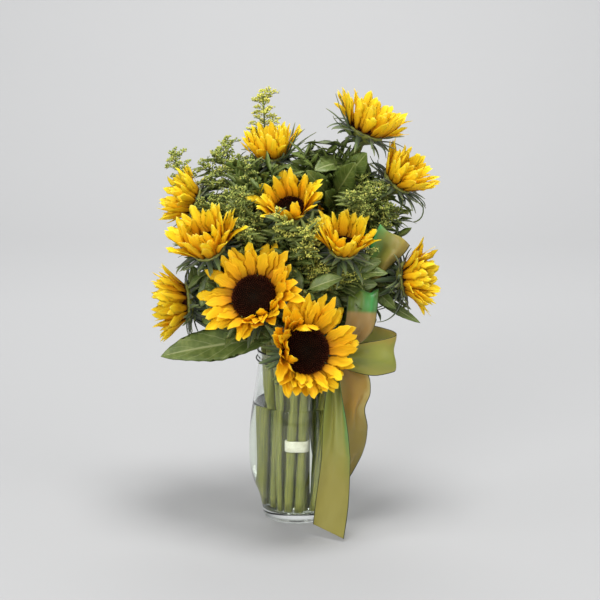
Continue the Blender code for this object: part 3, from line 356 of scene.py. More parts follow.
SPRIGS = {  # tip of the stem, then leaves as (share of the stem, direction, length, width)
    "sprig_upper_right": ((47, 8, 407), (
        (1.0, (0.72, -0.15, 0.66), 58, 30), (0.98, (-0.72, -0.3, 0.62), 70, 36),
        (0.96, (0.1, 0.4, 0.9), 64, 34), (0.92, (0.85, 0.5, 0.1), 62, 32),
        (0.88, (-0.6, 0.75, 0.2), 64, 32), (0.84, (0.8, -0.5, 0.3), 60, 32),
        (0.78, (-0.3, -0.9, 0.2), 60, 32), (0.72, (0.3, -0.9, 0.2), 60, 30))),
    "sprig_upper_left": ((-42, -2, 391), (
        (1.0, (-0.62, -0.25, 0.74), 62, 32), (0.96, (0.6, 0.1, 0.8), 56, 28),
        (0.92, (-0.8, 0.5, 0.3), 66, 34), (0.86, (-0.5, -0.85, 0.1), 62, 30),
        (0.8, (0.75, 0.6, 0.2), 60, 30), (0.74, (-0.9, -0.2, 0.1), 66, 32),
        (0.68, (0.2, -0.9, 0.3), 56, 28))),
    "sprig_right": ((92, -2, 293), (
        (1.0, (0.55, -0.1, 0.83), 64, 34), (0.93, (0.85, 0.5, 0.15), 62, 32),
        (0.9, (-0.3, 0.9, 0.4), 60, 30), (0.82, (0.8, -0.2, 0.5), 52, 26))),
    "sprig_low": ((4, -48, 323), (
        (1.0, (0.6, -0.45, 0.65), 58, 30), (0.96, (-0.6, -0.5, 0.6), 56, 30),
        (0.9, (0.8, -0.5, 0.2), 60, 30), (0.84, (-0.7, -0.6, 0.2), 56, 28),
        (0.76, (0.5, -0.85, 0.1), 50, 26))),
    "sprig_left": ((-82, -14, 317), (
        (1.0, (-0.6, -0.5, 0.6), 60, 30), (0.94, (0.6, -0.5, 0.6), 58, 28),
        (0.88, (-0.3, 0.8, 0.4), 62, 32), (0.78, (-0.8, 0.1, 0.4), 56, 28))),
    "sprig_back": ((-50, 74, 357), (
        (1.0, (-0.3, 0.6, 0.74), 68, 36), (0.92, (0.7, 0.5, 0.5), 66, 34),
        (0.84, (-0.85, 0.45, 0.1), 68, 34), (0.76, (0.2, 0.95, 0.0), 64, 32),
        (0.68, (-0.5, 0.8, -0.1), 62, 32))),
    "sprig_back_right": ((66, 60, 367), (
        (1.0, (0.4, 0.3, 0.85), 66, 34), (0.93, (-0.6, 0.6, 0.5), 64, 34),
        (0.86, (0.9, 0.3, 0.2), 64, 32), (0.78, (0.4, 0.9, 0.1), 62, 32))),
}
BANDED = ("front_right", "front_left", "mid_right")
CUP_DEPTH = 20.0
FOOT_LEVEL = 14.4
NECK_LEVEL = 213.0
BAND_LEVEL = 98.0
BAND_HEIGHT = 13.0
BAND_CENTRE = (0.0, -33.0)
BAND_ROOM = 16.0
SPIRAL = math.radians(52)
CURVE_STEPS = 6
LAY_ROUNDS, GATHER_ROUNDS, CLEAR_ROUNDS = 900, 750, 240
PUSH = 0.3  # share of a lack of room that one round makes good
SOLID_OUTER = (
    (0, 38), (2, 40.5), (10, 42), (28, 46), (47, 53.3), (67, 57.3), (92, 58), (117, 56.5),
    (143, 53.2), (171, 49), (197, 46.4), (208, 48.2),
)


def unit(vectors):
    """The vectors, each divided by its length."""
    vectors = np.asarray(vectors, float)
    return vectors / np.linalg.norm(vectors, axis=-1, keepdims=True)


def head_axes(name):
    """Right, up and forward of a head's disc: right is level, and forward is the way it faces."""
    forward = unit(HEADS[name][1])
    right = unit(np.cross((0, 0, 1), forward))
    return right, np.cross(forward, right), forward


def cubic(t, a, b, c, d):
    """The cubic curve from a to d, drawn towards b and c: their sum with weights (1 - t) ** 3,
    3 t (1 - t) ** 2, 3 t t (1 - t) and t ** 3."""
    return (1 - t) ** 3 * a + 3 * t * (1 - t) ** 2 * b + 3 * t * t * (1 - t) * c + t ** 3 * d


def nearest(a, b, c, d):
    """Where segments a-b and c-d come nearest: each one's share of its length, found by projecting
    one on the other and clipping to the ends, and the step between the two places."""
    u, v, w = b - a, d - c, a - c
    uu, uv, vv = (u * u).sum(-1), (u * v).sum(-1), (v * v).sum(-1)
    uw, vw = (u * w).sum(-1), (v * w).sum(-1)
    s = np.clip((uv * vw - vv * uw) / np.maximum(uu * vv - uv * uv, 1e-9), 0, 1)
    t = np.clip((uv * s + vw) / vv, 0, 1)
    s = np.clip((uv * t - uw) / uu, 0, 1)
    return s, w + s[..., None] * u - t[..., None] * v


def stand_in_vase(names, radii, ends):
    """Feet and necks of the stems in mm. Each pair nearer than its radii allow is pushed apart by a
    share of the lack, each stem that meets the glass is pushed in, and the banded ones are gathered."""
    reach = np.linalg.norm(ends[:, :2], axis=1)
    angle = np.arctan2(ends[:, 1], ends[:, 0])
    neck_r = np.minimum(34.0, 10.0 + 0.26 * reach)[:, None]
    neck = neck_r * np.stack([np.cos(angle), np.sin(angle)], 1)
    foot = 0.92 * neck_r * np.stack([np.cos(angle - SPIRAL), np.sin(angle - SPIRAL)], 1)
    shares = np.linspace(0, 1, 11)
    levels = np.minimum(FOOT_LEVEL + shares * (NECK_LEVEL - FOOT_LEVEL), SOLID_OUTER[-1][0])
    walls = np.interp(levels, *zip(*SOLID_OUTER)) - 3.0 - 2.0 * np.maximum(0, 1 - (levels - VASE_FLOOR) / 17)
    apart = (radii[:, None] + radii[None, :]) * 1.06 + 0.9
    banded = [names.index(name) for name in BANDED]
    others = [i for i in range(len(names)) if i not in banded]
    band_share = (BAND_LEVEL - FOOT_LEVEL) / (NECK_LEVEL - FOOT_LEVEL)
    for turn in range(LAY_ROUNDS):
        at = foot[:, None] + (neck - foot)[:, None] * shares[None, :, None]
        between = at[:, None] - at[None]
        distance = np.maximum(np.linalg.norm(between, axis=3), 1e-6)
        short = np.maximum(apart[:, :, None] - distance, 0)
        short[np.arange(len(names)), np.arange(len(names))] = 0
        push = (between / distance[..., None] * short[..., None]).sum(1) * PUSH
        out = np.linalg.norm(at, axis=2)
        over = np.maximum(out - (walls[None] - radii[:, None] * 1.06 - 1.2), 0)
        push -= at / np.maximum(out, 1e-6)[..., None] * over[..., None]
        low, high = push * (1 - shares)[None, :, None], push * shares[None, :, None]
        foot += low.max(1) + low.min(1)
        neck += high.max(1) + high.min(1)
        in_band = foot + (neck - foot) * band_share
        from_band = in_band[others] - BAND_CENTRE
        near = np.linalg.norm(from_band, axis=1)
        clear = PUSH * np.maximum(BAND_ROOM + radii[others] - near, 0) / near
        foot[others] += from_band * clear[:, None]
        neck[others] += from_band * clear[:, None]
        if turn < GATHER_ROUNDS:
            inward = np.array(BAND_CENTRE) - in_band[banded]
            foot[banded] += 0.05 * inward
            neck[banded] += 0.03 * inward
    level = np.ones((len(names), 1))
    return np.hstack([foot, level * FOOT_LEVEL]), np.hstack([neck, level * NECK_LEVEL])


def bend_to_ends(names, radii, feet, necks, ends, arrives):
    """Each stem's points in mm: its foot, its neck, then a cubic curve that leaves along the stem and
    arrives along the flower, with all curves pushed clear of each other and of the flower heads."""
    rise, span = unit(necks - feet), np.linalg.norm(ends - necks, axis=1, keepdims=True)
    lazy = unit(ends - necks + np.array([0, 0, 0.3]) * span)
    arrives = np.where(np.isnan(arrives), lazy, arrives)
    t = np.linspace(0, 1, CURVE_STEPS)[None, :, None]
    bend = 0.42 * span
    leaves, nears = (necks + rise * bend)[:, None], (ends - arrives * bend)[:, None]
    curve = cubic(t, necks[:, None], leaves, nears, ends[:, None])
    laid = np.concatenate([feet[:, None], curve], 1)
    paths = laid.copy()
    apart = radii[:, None, None, None] + radii[None, :, None, None] + 1.6
    own = np.eye(len(radii), dtype=bool)[:, :, None, None]
    balls = np.array([np.array(head[0]) - 6.2 * unit(head[1]) for head in HEADS.values()])
    ball_r = np.array([head[2] + 9.0 for head in HEADS.values()])
    own_ball = np.array([[head == name for head in HEADS] for name in names])
    freedom = np.array([0, 0] + [1] * (CURVE_STEPS - 3) + [0.5, 0])[None, :, None]
    for _ in range(CLEAR_ROUNDS):
        a, b = paths[:, 1:-1], paths[:, 2:]
        s, step = nearest(a[:, None, :, None], b[:, None, :, None], a[None, :, None], b[None, :, None])
        distance = np.maximum(np.linalg.norm(step, axis=-1), 1e-6)
        push = step * (PUSH * np.where(own, 0, np.maximum(apart - distance, 0)) / distance)[..., None]
        shift = np.zeros_like(paths)
        shift[:, 1:-1] += (push * (1 - s)[..., None]).sum((1, 3))
        shift[:, 2:] += (push * s[..., None]).sum((1, 3))
        run, reach = (b - a)[:, :, None], balls - a[:, :, None]
        s = np.clip((run * reach).sum(-1) / (run * run).sum(-1), 0, 1)[..., None]
        away = s * run - reach
        distance = np.maximum(np.linalg.norm(away, axis=-1), 1e-6)
        short = np.where(own_ball[:, None], 0, np.maximum(ball_r + radii[:, None, None] - distance, 0))
        push = away * (PUSH * short / distance)[..., None]
        shift[:, 1:-1] += (push * (1 - s)).sum(2)
        shift[:, 2:] += (push * s).sum(2)
        paths += shift * freedom
        moved = paths - laid
        moved[:, 2:-1] = 0.8 * moved[:, 2:-1] + 0.1 * (moved[:, 1:-2] + moved[:, 3:])
        paths = laid + moved
    return paths


kinds = {"sunflower": HEADS, "goldenrod": PLUMES, "sprig": SPRIGS}
STEM_WIDTH = {name: STEM_R[kind] for kind, names in kinds.items() for name in names}
stem_names, stem_radii = list(STEM_WIDTH), np.array(list(STEM_WIDTH.values()))
heads_back = [np.array(head[0], float) - unit(head[1]) * (CUP_DEPTH - 2) for head in HEADS.values()]
stem_tips = [tip for tip, _ in [*PLUMES.values(), *SPRIGS.values()]]
stem_ends = np.array(heads_back + stem_tips, float)
stem_arrives = np.full((len(stem_names), 3), np.nan)
stem_arrives[:len(HEADS)] = [unit(head[1]) for head in HEADS.values()]
feet, necks = stand_in_vase(stem_names, stem_radii, stem_ends)
PATHS = dict(zip(stem_names, bend_to_ends(stem_names, stem_radii, feet, necks, stem_ends, stem_arrives)))


def point_on(path, share):
    """The point and direction at a share of the path's length, by walking its straight pieces."""
    lengths = np.linalg.norm(np.diff(path, axis=0), axis=1)
    along = np.concatenate([[0], np.cumsum(lengths)])
    at = share * along[-1]
    i = min(int(np.searchsorted(along, at, side="right")) - 1, len(lengths) - 1)
    part = (at - along[i]) / lengths[i]
    return path[i] + (path[i + 1] - path[i]) * part, (path[i + 1] - path[i]) / lengths[i]


# ---------------------------------------------------------------- Sunflower stems and cups
# Thick hairy stalks full of pith, ridged lengthwise, each swelling at its end into the green cup
# that carries the disc. Out of the water they stay straight through the vase's neck, then bend.

STALK_SIDES = 14
CUP_ROWS, CUP_SIDES = 16, 32
KNOT_SPACING = 9  # rows of a stalk from one swollen node to the next
PLACED = []  # of every piece in its place: (owner, search tree)
MOST_PLACED = 9000
SPOTS = np.zeros((MOST_PLACED, 4))  # the middle and reach of each of them, in metres


def rods(path, radius, sides):
    """One ring a point of the path, at radius times (cos a, -sin a) on two axes square to the path. The
    first axis is square to the plane in which the path bends, so the rings don't twist."""
    along = unit(np.gradient(path, axis=0))
    flat = np.cross(along[0], along[-1])
    flat = unit(flat) if np.linalg.norm(flat) > 1e-3 else np.array([1.0, 0, 0])
    side = unit(np.cross(flat, along))
    front = np.cross(along, side)
    a = np.linspace(0, TURN, sides, endpoint=False)[None, :, None]
    radius = np.broadcast_to(radius, (len(path), sides))[..., None]
    return (path[:, None] + radius * (np.cos(a) * side[:, None] - np.sin(a) * front[:, None]))[None]


def marked(rings, *values):
    """The rings with their marks: three values for each point, each spread over the rings' grid."""
    marks = np.zeros(rings.shape)
    for k, value in enumerate(values):
        marks[..., k] = value
    return rings, marks


def rod_marks(rings, vary):
    """Rods with marks: the way round from -1 to 1, the share of the length, and a number for the piece."""
    rows, sides = rings.shape[1:3]
    return marked(rings, np.linspace(-1, 1, sides, endpoint=False), np.linspace(0, 1, rows)[:, None], vary)


def smooth_path(path, rows=44, straight=12):
    """A stem's centre line: even steps up its straight part, then the smooth curve through its points."""
    run = path[0] + (path[1] - path[0]) * np.linspace(0, 1, straight, endpoint=False)[:, None]
    rise = unit(path[1] - path[0]) * np.linalg.norm(path[2] - path[1])
    curve = np.vstack([path[1] - rise, path[1:]])
    first = 1 / (len(curve) - 1)
    return np.vstack([run, through(curve, np.linspace(first, 1, rows - straight))])


def faced(grid, closed=False):
    """Points and quads of a grid of rows, joined across its ends too when it is closed."""
    index = np.arange(grid.shape[0] * grid.shape[1]).reshape(grid.shape[:2])
    beside = np.roll(index, -1, 1)
    quads = np.stack([index[:-1], index[1:], beside[1:], beside[:-1]], -1)
    return grid.reshape(-1, 3), (quads if closed else quads[:, :-1]).reshape(-1, 4)


def keep_clear(owner, points, faces):
    """Notes a piece, as points in metres and faces, so that later pieces can be kept clear of it."""
    middle = points.mean(0)
    SPOTS[len(PLACED)] = *middle, np.linalg.norm(points - middle, axis=1).max()
    PLACED.append((owner, BVHTree.FromPolygons(points.tolist(), faces.tolist())))


def is_free(owners, points, faces):
    """True where these faces cross nothing that is placed but what these owners hold."""
    tree = BVHTree.FromPolygons(points.tolist(), faces.tolist())
    middle = points.mean(0)
    reach = np.linalg.norm(points - middle, axis=1).max()
    spots = SPOTS[:len(PLACED)]
    near = np.flatnonzero(np.linalg.norm(spots[:, :3] - middle, axis=1) < spots[:, 3] + reach)
    return not any(PLACED[i][0] not in owners and tree.overlap(PLACED[i][1]) for i in near)


def read_marks(add):
    """A piece's marks, whole and then as their three numbers."""
    marks = add("Attribute", attribute_name="marks").outputs["Vector"]
    return marks, *add("SeparateXYZ", {"Vector": marks}).outputs


def stalk_look(add):
    """Living stalk: satin olive green, streaked lengthwise, with hairs too fine to show one by one: a
    soft sheen and a roughness about 1 mm across stand for them."""
    marks = add("Attribute", attribute_name="marks")
    stretched = add("Mapping", {"Vector": marks.outputs["Vector"], "Scale": (7.0, 9.0, 9.0)})
    streak = add("TexNoise", {"Vector": stretched, "Scale": 1.6, "Detail": 3.0, "Roughness": 0.6})
    colour = add("ValToRGB", {"Fac": streak}, stops=[(0.28, "#50581C"), (0.5, "#777B2E"), (0.72, "#989646")])
    place_on = add("TexCoord").outputs["Object"]
    hairs = add("TexNoise", {"Vector": place_on, "Scale": 900.0, "Detail": 2.0})
    bump = add("Bump", {"Height": hairs, "Strength": 0.25, "Distance": 0.0008})
    return add("BsdfPrincipled", {
        "Base Color": colour, "Roughness": 0.55, "Normal": bump,
        "Sheen Weight": 0.12, "Sheen Roughness": 0.4})


def on_head(name, local):
    """Points given right, up and forward of a head's disc in mm, in the arrangement's metres."""
    return (np.array(HEADS[name][0]) + local @ np.array(head_axes(name))) * MM


def cup_rings(name):
    """The cup behind a disc: a radius that swells smoothly from the stem's to the disc's, faintly ribbed."""
    disc, stem = HEADS[name][2], STEM_R["sunflower"]
    profile = through([
        (stem - 0.6, -CUP_DEPTH - 4), (stem + 0.6, -CUP_DEPTH), (0.5 * disc, -0.85 * CUP_DEPTH),
        (0.84 * disc, -0.6 * CUP_DEPTH), (disc + 1.6, -0.33 * CUP_DEPTH), (disc + 1.4, -3.4),
        (0.3 * disc, -3.0)], np.linspace(0, 1, CUP_ROWS))
    a = np.linspace(0, TURN, CUP_SIDES, endpoint=False)
    ribbed = profile[:, :1] * (1 + 0.025 * np.cos(11 * a))
    height = np.broadcast_to(profile[:, 1:], ribbed.shape)
    return on_head(name, np.stack([ribbed * np.cos(a), -ribbed * np.sin(a), height], -1))


for node in ("ribbon_bow", "vase"):
    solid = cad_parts[node].data
    triangles = np.array([tuple(face.vertices)[:3] for face in solid.polygons])
    keep_clear(node, np.array([corner.co[:] for corner in solid.vertices]), triangles)
for name, path in PATHS.items():
    keep_clear(name, *faced(rods(smooth_path(path, 20, 6) * MM, STEM_WIDTH[name] * MM, 5)[0], True))

STALK = finish("hairy_green_stalk", stalk_look)
for name in HEADS:
    path = smooth_path(PATHS[name])
    a = np.linspace(0, TURN, STALK_SIDES, endpoint=False)
    draw = random.Random(name)
    along = np.arange(len(path))
    swollen = 1 + 0.05 * np.sin(along * draw.uniform(0.7, 1.0) + draw.uniform(0, 6))
    past = (along - draw.uniform(0, KNOT_SPACING)) % KNOT_SPACING
    swollen += 0.16 * np.exp(-((past - KNOT_SPACING / 2) / 0.7) ** 2)
    ridged = STEM_R["sunflower"] * MM * swollen[:, None] * (1 + 0.03 * np.cos(5 * a))
    cup = cup_rings(name)
    keep_clear(name, *faced(cup, True))
    stalk = rod_marks(rods(path * MM, ridged, STALK_SIDES), draw.random())
    mesh = skin(stalk, rod_marks(cup[None], draw.random()))
    place(f"stem_{name}", mesh, STALK, "stem", [f"sunflower_{name}_stem"])


# ---------------------------------------------------------------- Sunflower discs
# Several hundred tiny florets packed in the spirals of the golden angle over a low dome. The open
# ones at the rim are maroon, and the closed buds towards the middle are nearly black.

GOLDEN_ANGLE = math.pi * (3 - math.sqrt(5))
OPEN_FLORETS, YOUNG_FLORETS = 460, 240
FLORET_SIDES = 5
FLORET_SHAPE = ((0.0, 0.75), (0.6, 1.0), (1.0, 0.3))  # height and width, as shares of a floret's own
DOME_SHAPE = (  # radius and height, as shares of the disc's radius
    (0.02, 0.11), (0.3, 0.13), (0.6, 0.15), (0.85, 0.11),
    (1.0, -0.06), (0.96, -0.12), (0.5, -0.12), (0.02, -0.12))


def is_open(name):
    """True for the two blooms in front, which are fully open."""
    return "front" in name


def florets(name):
    """The florets of a disc, with marks (height, share of the disc's radius, floret's number).

    Floret n of N stands at radius r sqrt(n / N), n golden angles round, leaning outwards a little. It
    widens then closes up its height, and stands tallest in the ring of open ones near the rim.
    """
    disc = HEADS[name][2] + 1.0
    count = OPEN_FLORETS if is_open(name) else YOUNG_FLORETS
    draw = np.random.default_rng(sum(map(ord, name)))
    n = np.arange(count) + 0.5
    share = np.sqrt(n / count)
    angle = n * GOLDEN_ANGLE
    radius = disc * share
    rise = disc * (0.15 + 0.05 * np.sin(share * np.pi)) - 2.4 * np.clip((share - 0.86) / 0.14, 0, 1) ** 2
    rise -= 1.6 * np.exp(-(share / 0.33) ** 2)
    width = 0.94 * disc / math.sqrt(count) * draw.uniform(0.85, 1.1, count)
    tall = (0.9 + 1.5 * np.exp(-((share - 0.82) / 0.13) ** 2)) * draw.uniform(0.7, 1.3, count)
    base = np.stack([radius * np.cos(angle), radius * np.sin(angle), rise - 0.9], -1)
    lean = np.stack([np.cos(angle) * share * 0.4, np.sin(angle) * share * 0.4, np.ones(count)], -1)
    lean = unit(lean + draw.uniform(-0.16, 0.16, (count, 3)))
    side = unit(np.cross(lean, (0.3, 1.0, 0.0)))
    front = np.cross(lean, side)
    ups, wides = np.array(FLORET_SHAPE).T
    a = np.linspace(0, TURN, FLORET_SIDES, endpoint=False)[:, None]
    around = np.cos(a) * side[:, None, None] - np.sin(a) * front[:, None, None]
    rings = base[:, None, None] + lean[:, None, None] * ((0.9 + tall)[:, None] * ups)[..., None, None]
    rings = rings + around * (width[:, None] * wides)[..., None, None]
    return marked(on_head(name, rings), ups[:, None], share[:, None, None], draw.random(count)[:, None, None])


def dome(name):
    """The dark skin under the florets: it rises 0.15 of the radius and its underside is flat."""
    disc = HEADS[name][2] + 0.6
    share, lift = np.array(DOME_SHAPE).T
    a = np.linspace(0, TURN, 32, endpoint=False)
    x, y = disc * share[:, None] * np.cos(a), disc * share[:, None] * np.sin(a)
    rings = on_head(name, np.stack([x, y, np.broadcast_to((lift * disc)[:, None], x.shape)], -1))[None]
    return marked(rings, 0, share[:, None])


def floret_look(add):
    """Disc florets: matt maroon to near-black by their distance from the middle, paler at their tips."""
    _, x, y, z = read_marks(add)
    by_radius = add("ValToRGB", {"Fac": y}, stops=[
        (0.0, "#10100A"), (0.28, "#110B06"), (0.5, "#140804"), (0.8, "#200A05"), (1.0, "#3A1608")])
    tips = add("MapRange", {"Value": x, "From Min": 0.55, "To Max": 0.38})
    colour = add("Mix", {0: tips, 6: by_radius, 7: linear("#42200E")}, data_type="RGBA")
    vary = add("MapRange", {"Value": z, "To Min": 0.65, "To Max": 1.35})
    shaded = add("HueSaturation", {"Value": vary, "Color": colour.outputs[2]})
    return add("BsdfPrincipled", {"Base Color": shaded, "Roughness": 0.8, "Specular IOR Level": 0.05})


FLORETS = finish("dark_disc_florets", floret_look)
for name in HEADS:
    under = dome(name)
    place(f"disc_{name}", skin(florets(name), under), FLORETS, "disc", [f"sunflower_{name}_disc"])
    keep_clear(name + "_crown", *faced(under[0][0], True))


# ---------------------------------------------------------------- Sunflower petals
# Thin satin ray petals that overlap in two or three rows round each disc. They are grooved lengthwise,
# orange at the base, with painted shade that deepens it to brown where the petals overlap by the disc, and
# on the half-open flowers they still stand up in a cup over the disc.

PETAL_THICK = 0.45
PETAL_SINK = 1.8  # how far behind a disc's face the solids' petals are rooted
BACKMOST = 0.137  # metres behind the vase's axis, as far as any bloom reaches
SOLID_TRIES = [(shorter, raised) for shorter in (1.0, 0.85, 0.7, 0.55) for raised in (0, 10, 20, 32, 45, -10)]
MORE_TRIES = ((1, 0), (1, 9), (1, -9), (0.92, 18), (0.85, 30), (0.75, 42), (0.62, 5))
SHOWS_DISC = ("middle", "mid_right")  # half-open flowers whose disc shows between the petals
SHORTER_BELOW = {"front_right": 0.24}  # how much shorter its lowest petals are
OPEN_ROWS = ((17, -3.2, -6, 1.0), (15, 0.8, 8, 0.86))  # petals, root height, lift, share of the length
YOUNG_ROWS = ((13, -3.0, 0, 1.0), (13, 0.6, 18, 0.96), (11, 2.8, 29, 0.86))
EXTRA_PETALS = {  # azimuth and lift in degrees, length, width, curl, sway, root height
    "front_right": (
        (200, 22, 45, 15, -0.1, 1.05, 0.4), (186, 34, 40, 14, 0.1, 0.98, 1.6),
        (214, 14, 40, 15, 0.2, 0.8, -1.0), (172, 30, 27, 13, 0.1, -0.75, 1.0),
        (158, 48, 18, 12, 0.3, -0.5, 0.6), (102, 62, 33, 24, 1.2, -0.15, 0.6),
        (80, 64, 27, 17, 1.1, 0.1, 0.6), (70, 8, 43, 13, 0.1, -0.05, -2.0),
        (96, 10, 36, 18, 0.2, -0.1, -1.0), (-84, 8, 27, 18, 0.1, 0.0, -1.0),
        (-100, 6, 26, 17, 0.2, 0.1, -2.0)),
    "front_left": (
        (80, 12, 40, 14, -0.1, 0.1, -2.0), (62, 10, 42, 14, 0.1, -0.1, -1.0),
        (100, 16, 40, 14, 0.1, 0.0, 0.4), (40, 20, 38, 15, 0.4, 0.1, 0.4),
        (14, 34, 34, 14, 0.5, 0.2, 0.8), (-52, 62, 22, 14, 0.9, -0.3, 1.6),
        (-84, 56, 22, 14, 0.7, 0.2, 1.6), (-20, 60, 24, 15, 0.8, 0.1, 1.6),
        (128, 20, 38, 14, 0.0, -0.1, 0.0)),
}


def blades(roots, grows, faces, length, lean, half, raised, thick, twist, sway, vary):
    """Thin closed blades and their marks: (across from -1 to 1, share of the length, blade's number).

    A blade's midrib leaves its root, and at a share s of its length it leans lean(s) from the way it
    grows towards the way it faces. Sections are half(s) wide to each side, turned by twist times s
    about the midrib, which sways sideways by sway times s squared; half may differ across too, for a
    ragged edge. raised(s, t) is a section's height at t across, and it is thick times (1 - t squared)
    thick, so that its edges are sharp.
    """
    count, rows, across = raised.shape
    s = np.linspace(0, 1, rows)
    t = np.linspace(-1, 1, across)

    def summed(slope):
        """How far a blade has come at each section, from its slope by the trapezium rule."""
        steps = (slope[:, 1:] + slope[:, :-1]) / 2 / (rows - 1)
        return length[:, None] * np.concatenate([np.zeros((count, 1)), np.cumsum(steps, 1)], 1)

    sides = np.cross(faces, grows)
    out, rise = summed(np.cos(lean))[..., None], summed(np.sin(lean))[..., None]
    aside = (sway * length)[:, None, None] * (s ** 2)[None, :, None]
    mid = roots[:, None] + grows[:, None] * out + faces[:, None] * rise + sides[:, None] * aside
    normal = faces[:, None] * np.cos(lean)[..., None] - grows[:, None] * np.sin(lean)[..., None]
    turn = (twist[:, None] * s)[..., None]
    side = sides[:, None] * np.cos(turn) + normal * np.sin(turn)
    normal = (normal * np.cos(turn) - sides[:, None] * np.sin(turn))[:, :, None]
    spread = side[:, :, None] * ((half if half.ndim == 3 else half[..., None]) * t)[..., None]
    body = np.maximum(thick * (1 - t ** 2) / 2, 0.0)
    top = mid[:, :, None] + spread + normal * (raised + body)[..., None]
    below = mid[:, :, None] + spread + normal * (raised - body)[..., None]
    _, marks = marked(top, t, s[:, None], vary[:, None, None])
    return (np.concatenate([top, below[:, :, -2:0:-1]], 2),
            np.concatenate([marks, marks[:, :, -2:0:-1]], 2))


def lobed(s, root, widest, power):
    """A blade's width at shares s: from root up a quarter sine to 1 at widest, then a rounded point."""
    rise = root + (1 - root) * np.sin(np.minimum(1, s / widest) * np.pi / 2)
    return rise * np.sqrt(np.clip(1 - np.maximum(0, (s - widest) / (1 - widest)) ** power, 0, 1))


def solid_points(node):
    """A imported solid's vertices in mm."""
    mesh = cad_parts[node].data
    points = np.empty(len(mesh.vertices) * 3)
    mesh.vertices.foreach_get("co", points)
    return points.reshape(-1, 3) / MM


def is_corner(point, corners):
    """True where a point is one of a solid's corners."""
    return np.abs(corners - point).max(1).min() < 0.05


def folded(name, azimuth):
    """Degrees by which a head's petals fold in over the disc, most on its fold side."""
    fold_side, fold = HEADS[name][5:]
    return max(0, math.cos(azimuth - math.radians(fold_side))) * fold


def petal_draws(name):
    """The solids' petals: (azimuth, lift, length, width, curl, sway), drawn in their order."""
    petal, lift = HEADS[name][3:5]
    draw = random.Random(name)
    for row, count in enumerate((8, 8) if is_open(name) else (6, 6)):
        for n in range(count):
            azimuth = TURN * (n + 0.5 * row) / count + draw.uniform(-0.12, 0.12)
            angle = math.radians(lift + 13 * row + folded(name, azimuth) + draw.uniform(-6, 6))
            length = petal * draw.uniform(0.86, 1.08) * (1 - 0.08 * row)
            width = petal * draw.uniform(2.7, 3.3) / count
            yield azimuth, angle, length, width, math.radians(draw.uniform(-28, 22)), draw.uniform(-0.2, 0.2)


def around_head(name, azimuth, sway, root_r, root_z):
    """Roots of blades round a head's disc in mm, the ways they grow and the way they face."""
    right, up, forward = head_axes(name)
    azimuth, sway = np.atleast_1d(azimuth), np.atleast_1d(sway)
    outward = np.cos(azimuth)[:, None] * right + np.sin(azimuth)[:, None] * up
    grows = np.cos(azimuth + sway)[:, None] * right + np.sin(azimuth + sway)[:, None] * up
    root = np.array(HEADS[name][0]) + outward * root_r + forward * np.reshape(root_z, (-1, 1))
    return root, grows, np.broadcast_to(forward, grows.shape)


def shorter_below(name, azimuth):
    """The share of its length that a petal keeps: less where it hangs below the disc."""
    return 1 - SHORTER_BELOW.get(name, 0) * max(0, -math.sin(azimuth))


def solid_petals(name):
    """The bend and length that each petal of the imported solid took: the try whose tip is a vertex of it."""
    corners = solid_points(f"sunflower_{name}_petals")
    found = []
    for azimuth, lift, length, width, curl, sway in petal_draws(name):
        root, grows, forward = around_head(name, azimuth, sway, HEADS[name][2] + 2.2, -PETAL_SINK)
        turn = curl if abs(curl) > 1e-4 else 1e-4
        for shorter, raised in SOLID_TRIES:
            start, run = lift + math.radians(raised), length * shorter
            out = run * (math.sin(start + turn) - math.sin(start)) / turn
            rise = run * (math.cos(start) - math.cos(start + turn)) / turn
            if is_corner(root[0] + grows[0] * out + forward[0] * rise, corners):
                run *= shorter_below(name, azimuth)
                width *= 0.98 if is_open(name) else 0.68
                found.append((azimuth, start, run, width, curl, sway, -PETAL_SINK))
                break
    return found


def petal_blades(name, petals, grid=(6, 3)):
    """Petals of one head from rows of (azimuth, lift, length, width, curl, sway, root height). Each is
    lobed, wavy and torn at its edge, cupped across, and grooved by cos(3 pi t) for t across."""
    azimuth, lift, length, width, curl, sway, root_z = np.array(petals).T
    draw = np.random.default_rng([ord(letter) for letter in name])
    one = draw.uniform(-1, 1, (8, 80))[:, :len(azimuth)]
    own = one[:, :, None]
    s, t = np.linspace(0, 1, grid[0]), np.linspace(-1, 1, grid[1])
    root_r = HEADS[name][2] + 1.4 - 0.9 * np.maximum(root_z, 0)[:, None]
    roots, grows, faces = around_head(name, azimuth, sway, root_r, root_z)
    shape = np.array([lobed(s, 0.5, 0.5 + 0.12 * a, 1.7 + 0.5 * b) ** (1.3 + 0.3 * b) for a, b in one[:2].T])
    shape *= 1 + 0.09 * np.sin(TURN * (2.6 * s + own[7]))
    half = 0.5 * width[:, None] * np.maximum(shape, 0.035) * MM
    torn = (np.sin(TURN * (2.1 * s + own[6])) * s)[..., None]
    edge = 1 + 0.2 * torn * t + 0.12 * np.sin(TURN * (4.3 * s + own[3]))[..., None] * t * s[:, None]
    lean = lift[:, None] + curl[:, None] * s + np.radians(26 * one[2])[:, None] * (s ** 3 - s ** 2) * 4
    cup = (0.34 + 0.34 * one[3])[:, None, None] * t ** 2
    groove = 0.055 * np.cos(3 * np.pi * t) * (1 - 0.6 * s[:, None])
    wave = 0.32 * own[4][..., None] * t * np.sin(TURN * (1.2 * s + own[5]))[..., None] * s[:, None]
    raised = half[..., None] * (cup + groove + wave)
    return blades(roots * MM, grows, faces, length * MM, lean, half[..., None] * edge, raised,
                  PETAL_THICK * MM, np.radians(30) * one[6], 0.13 * one[7], (one[5] + 1) / 2)


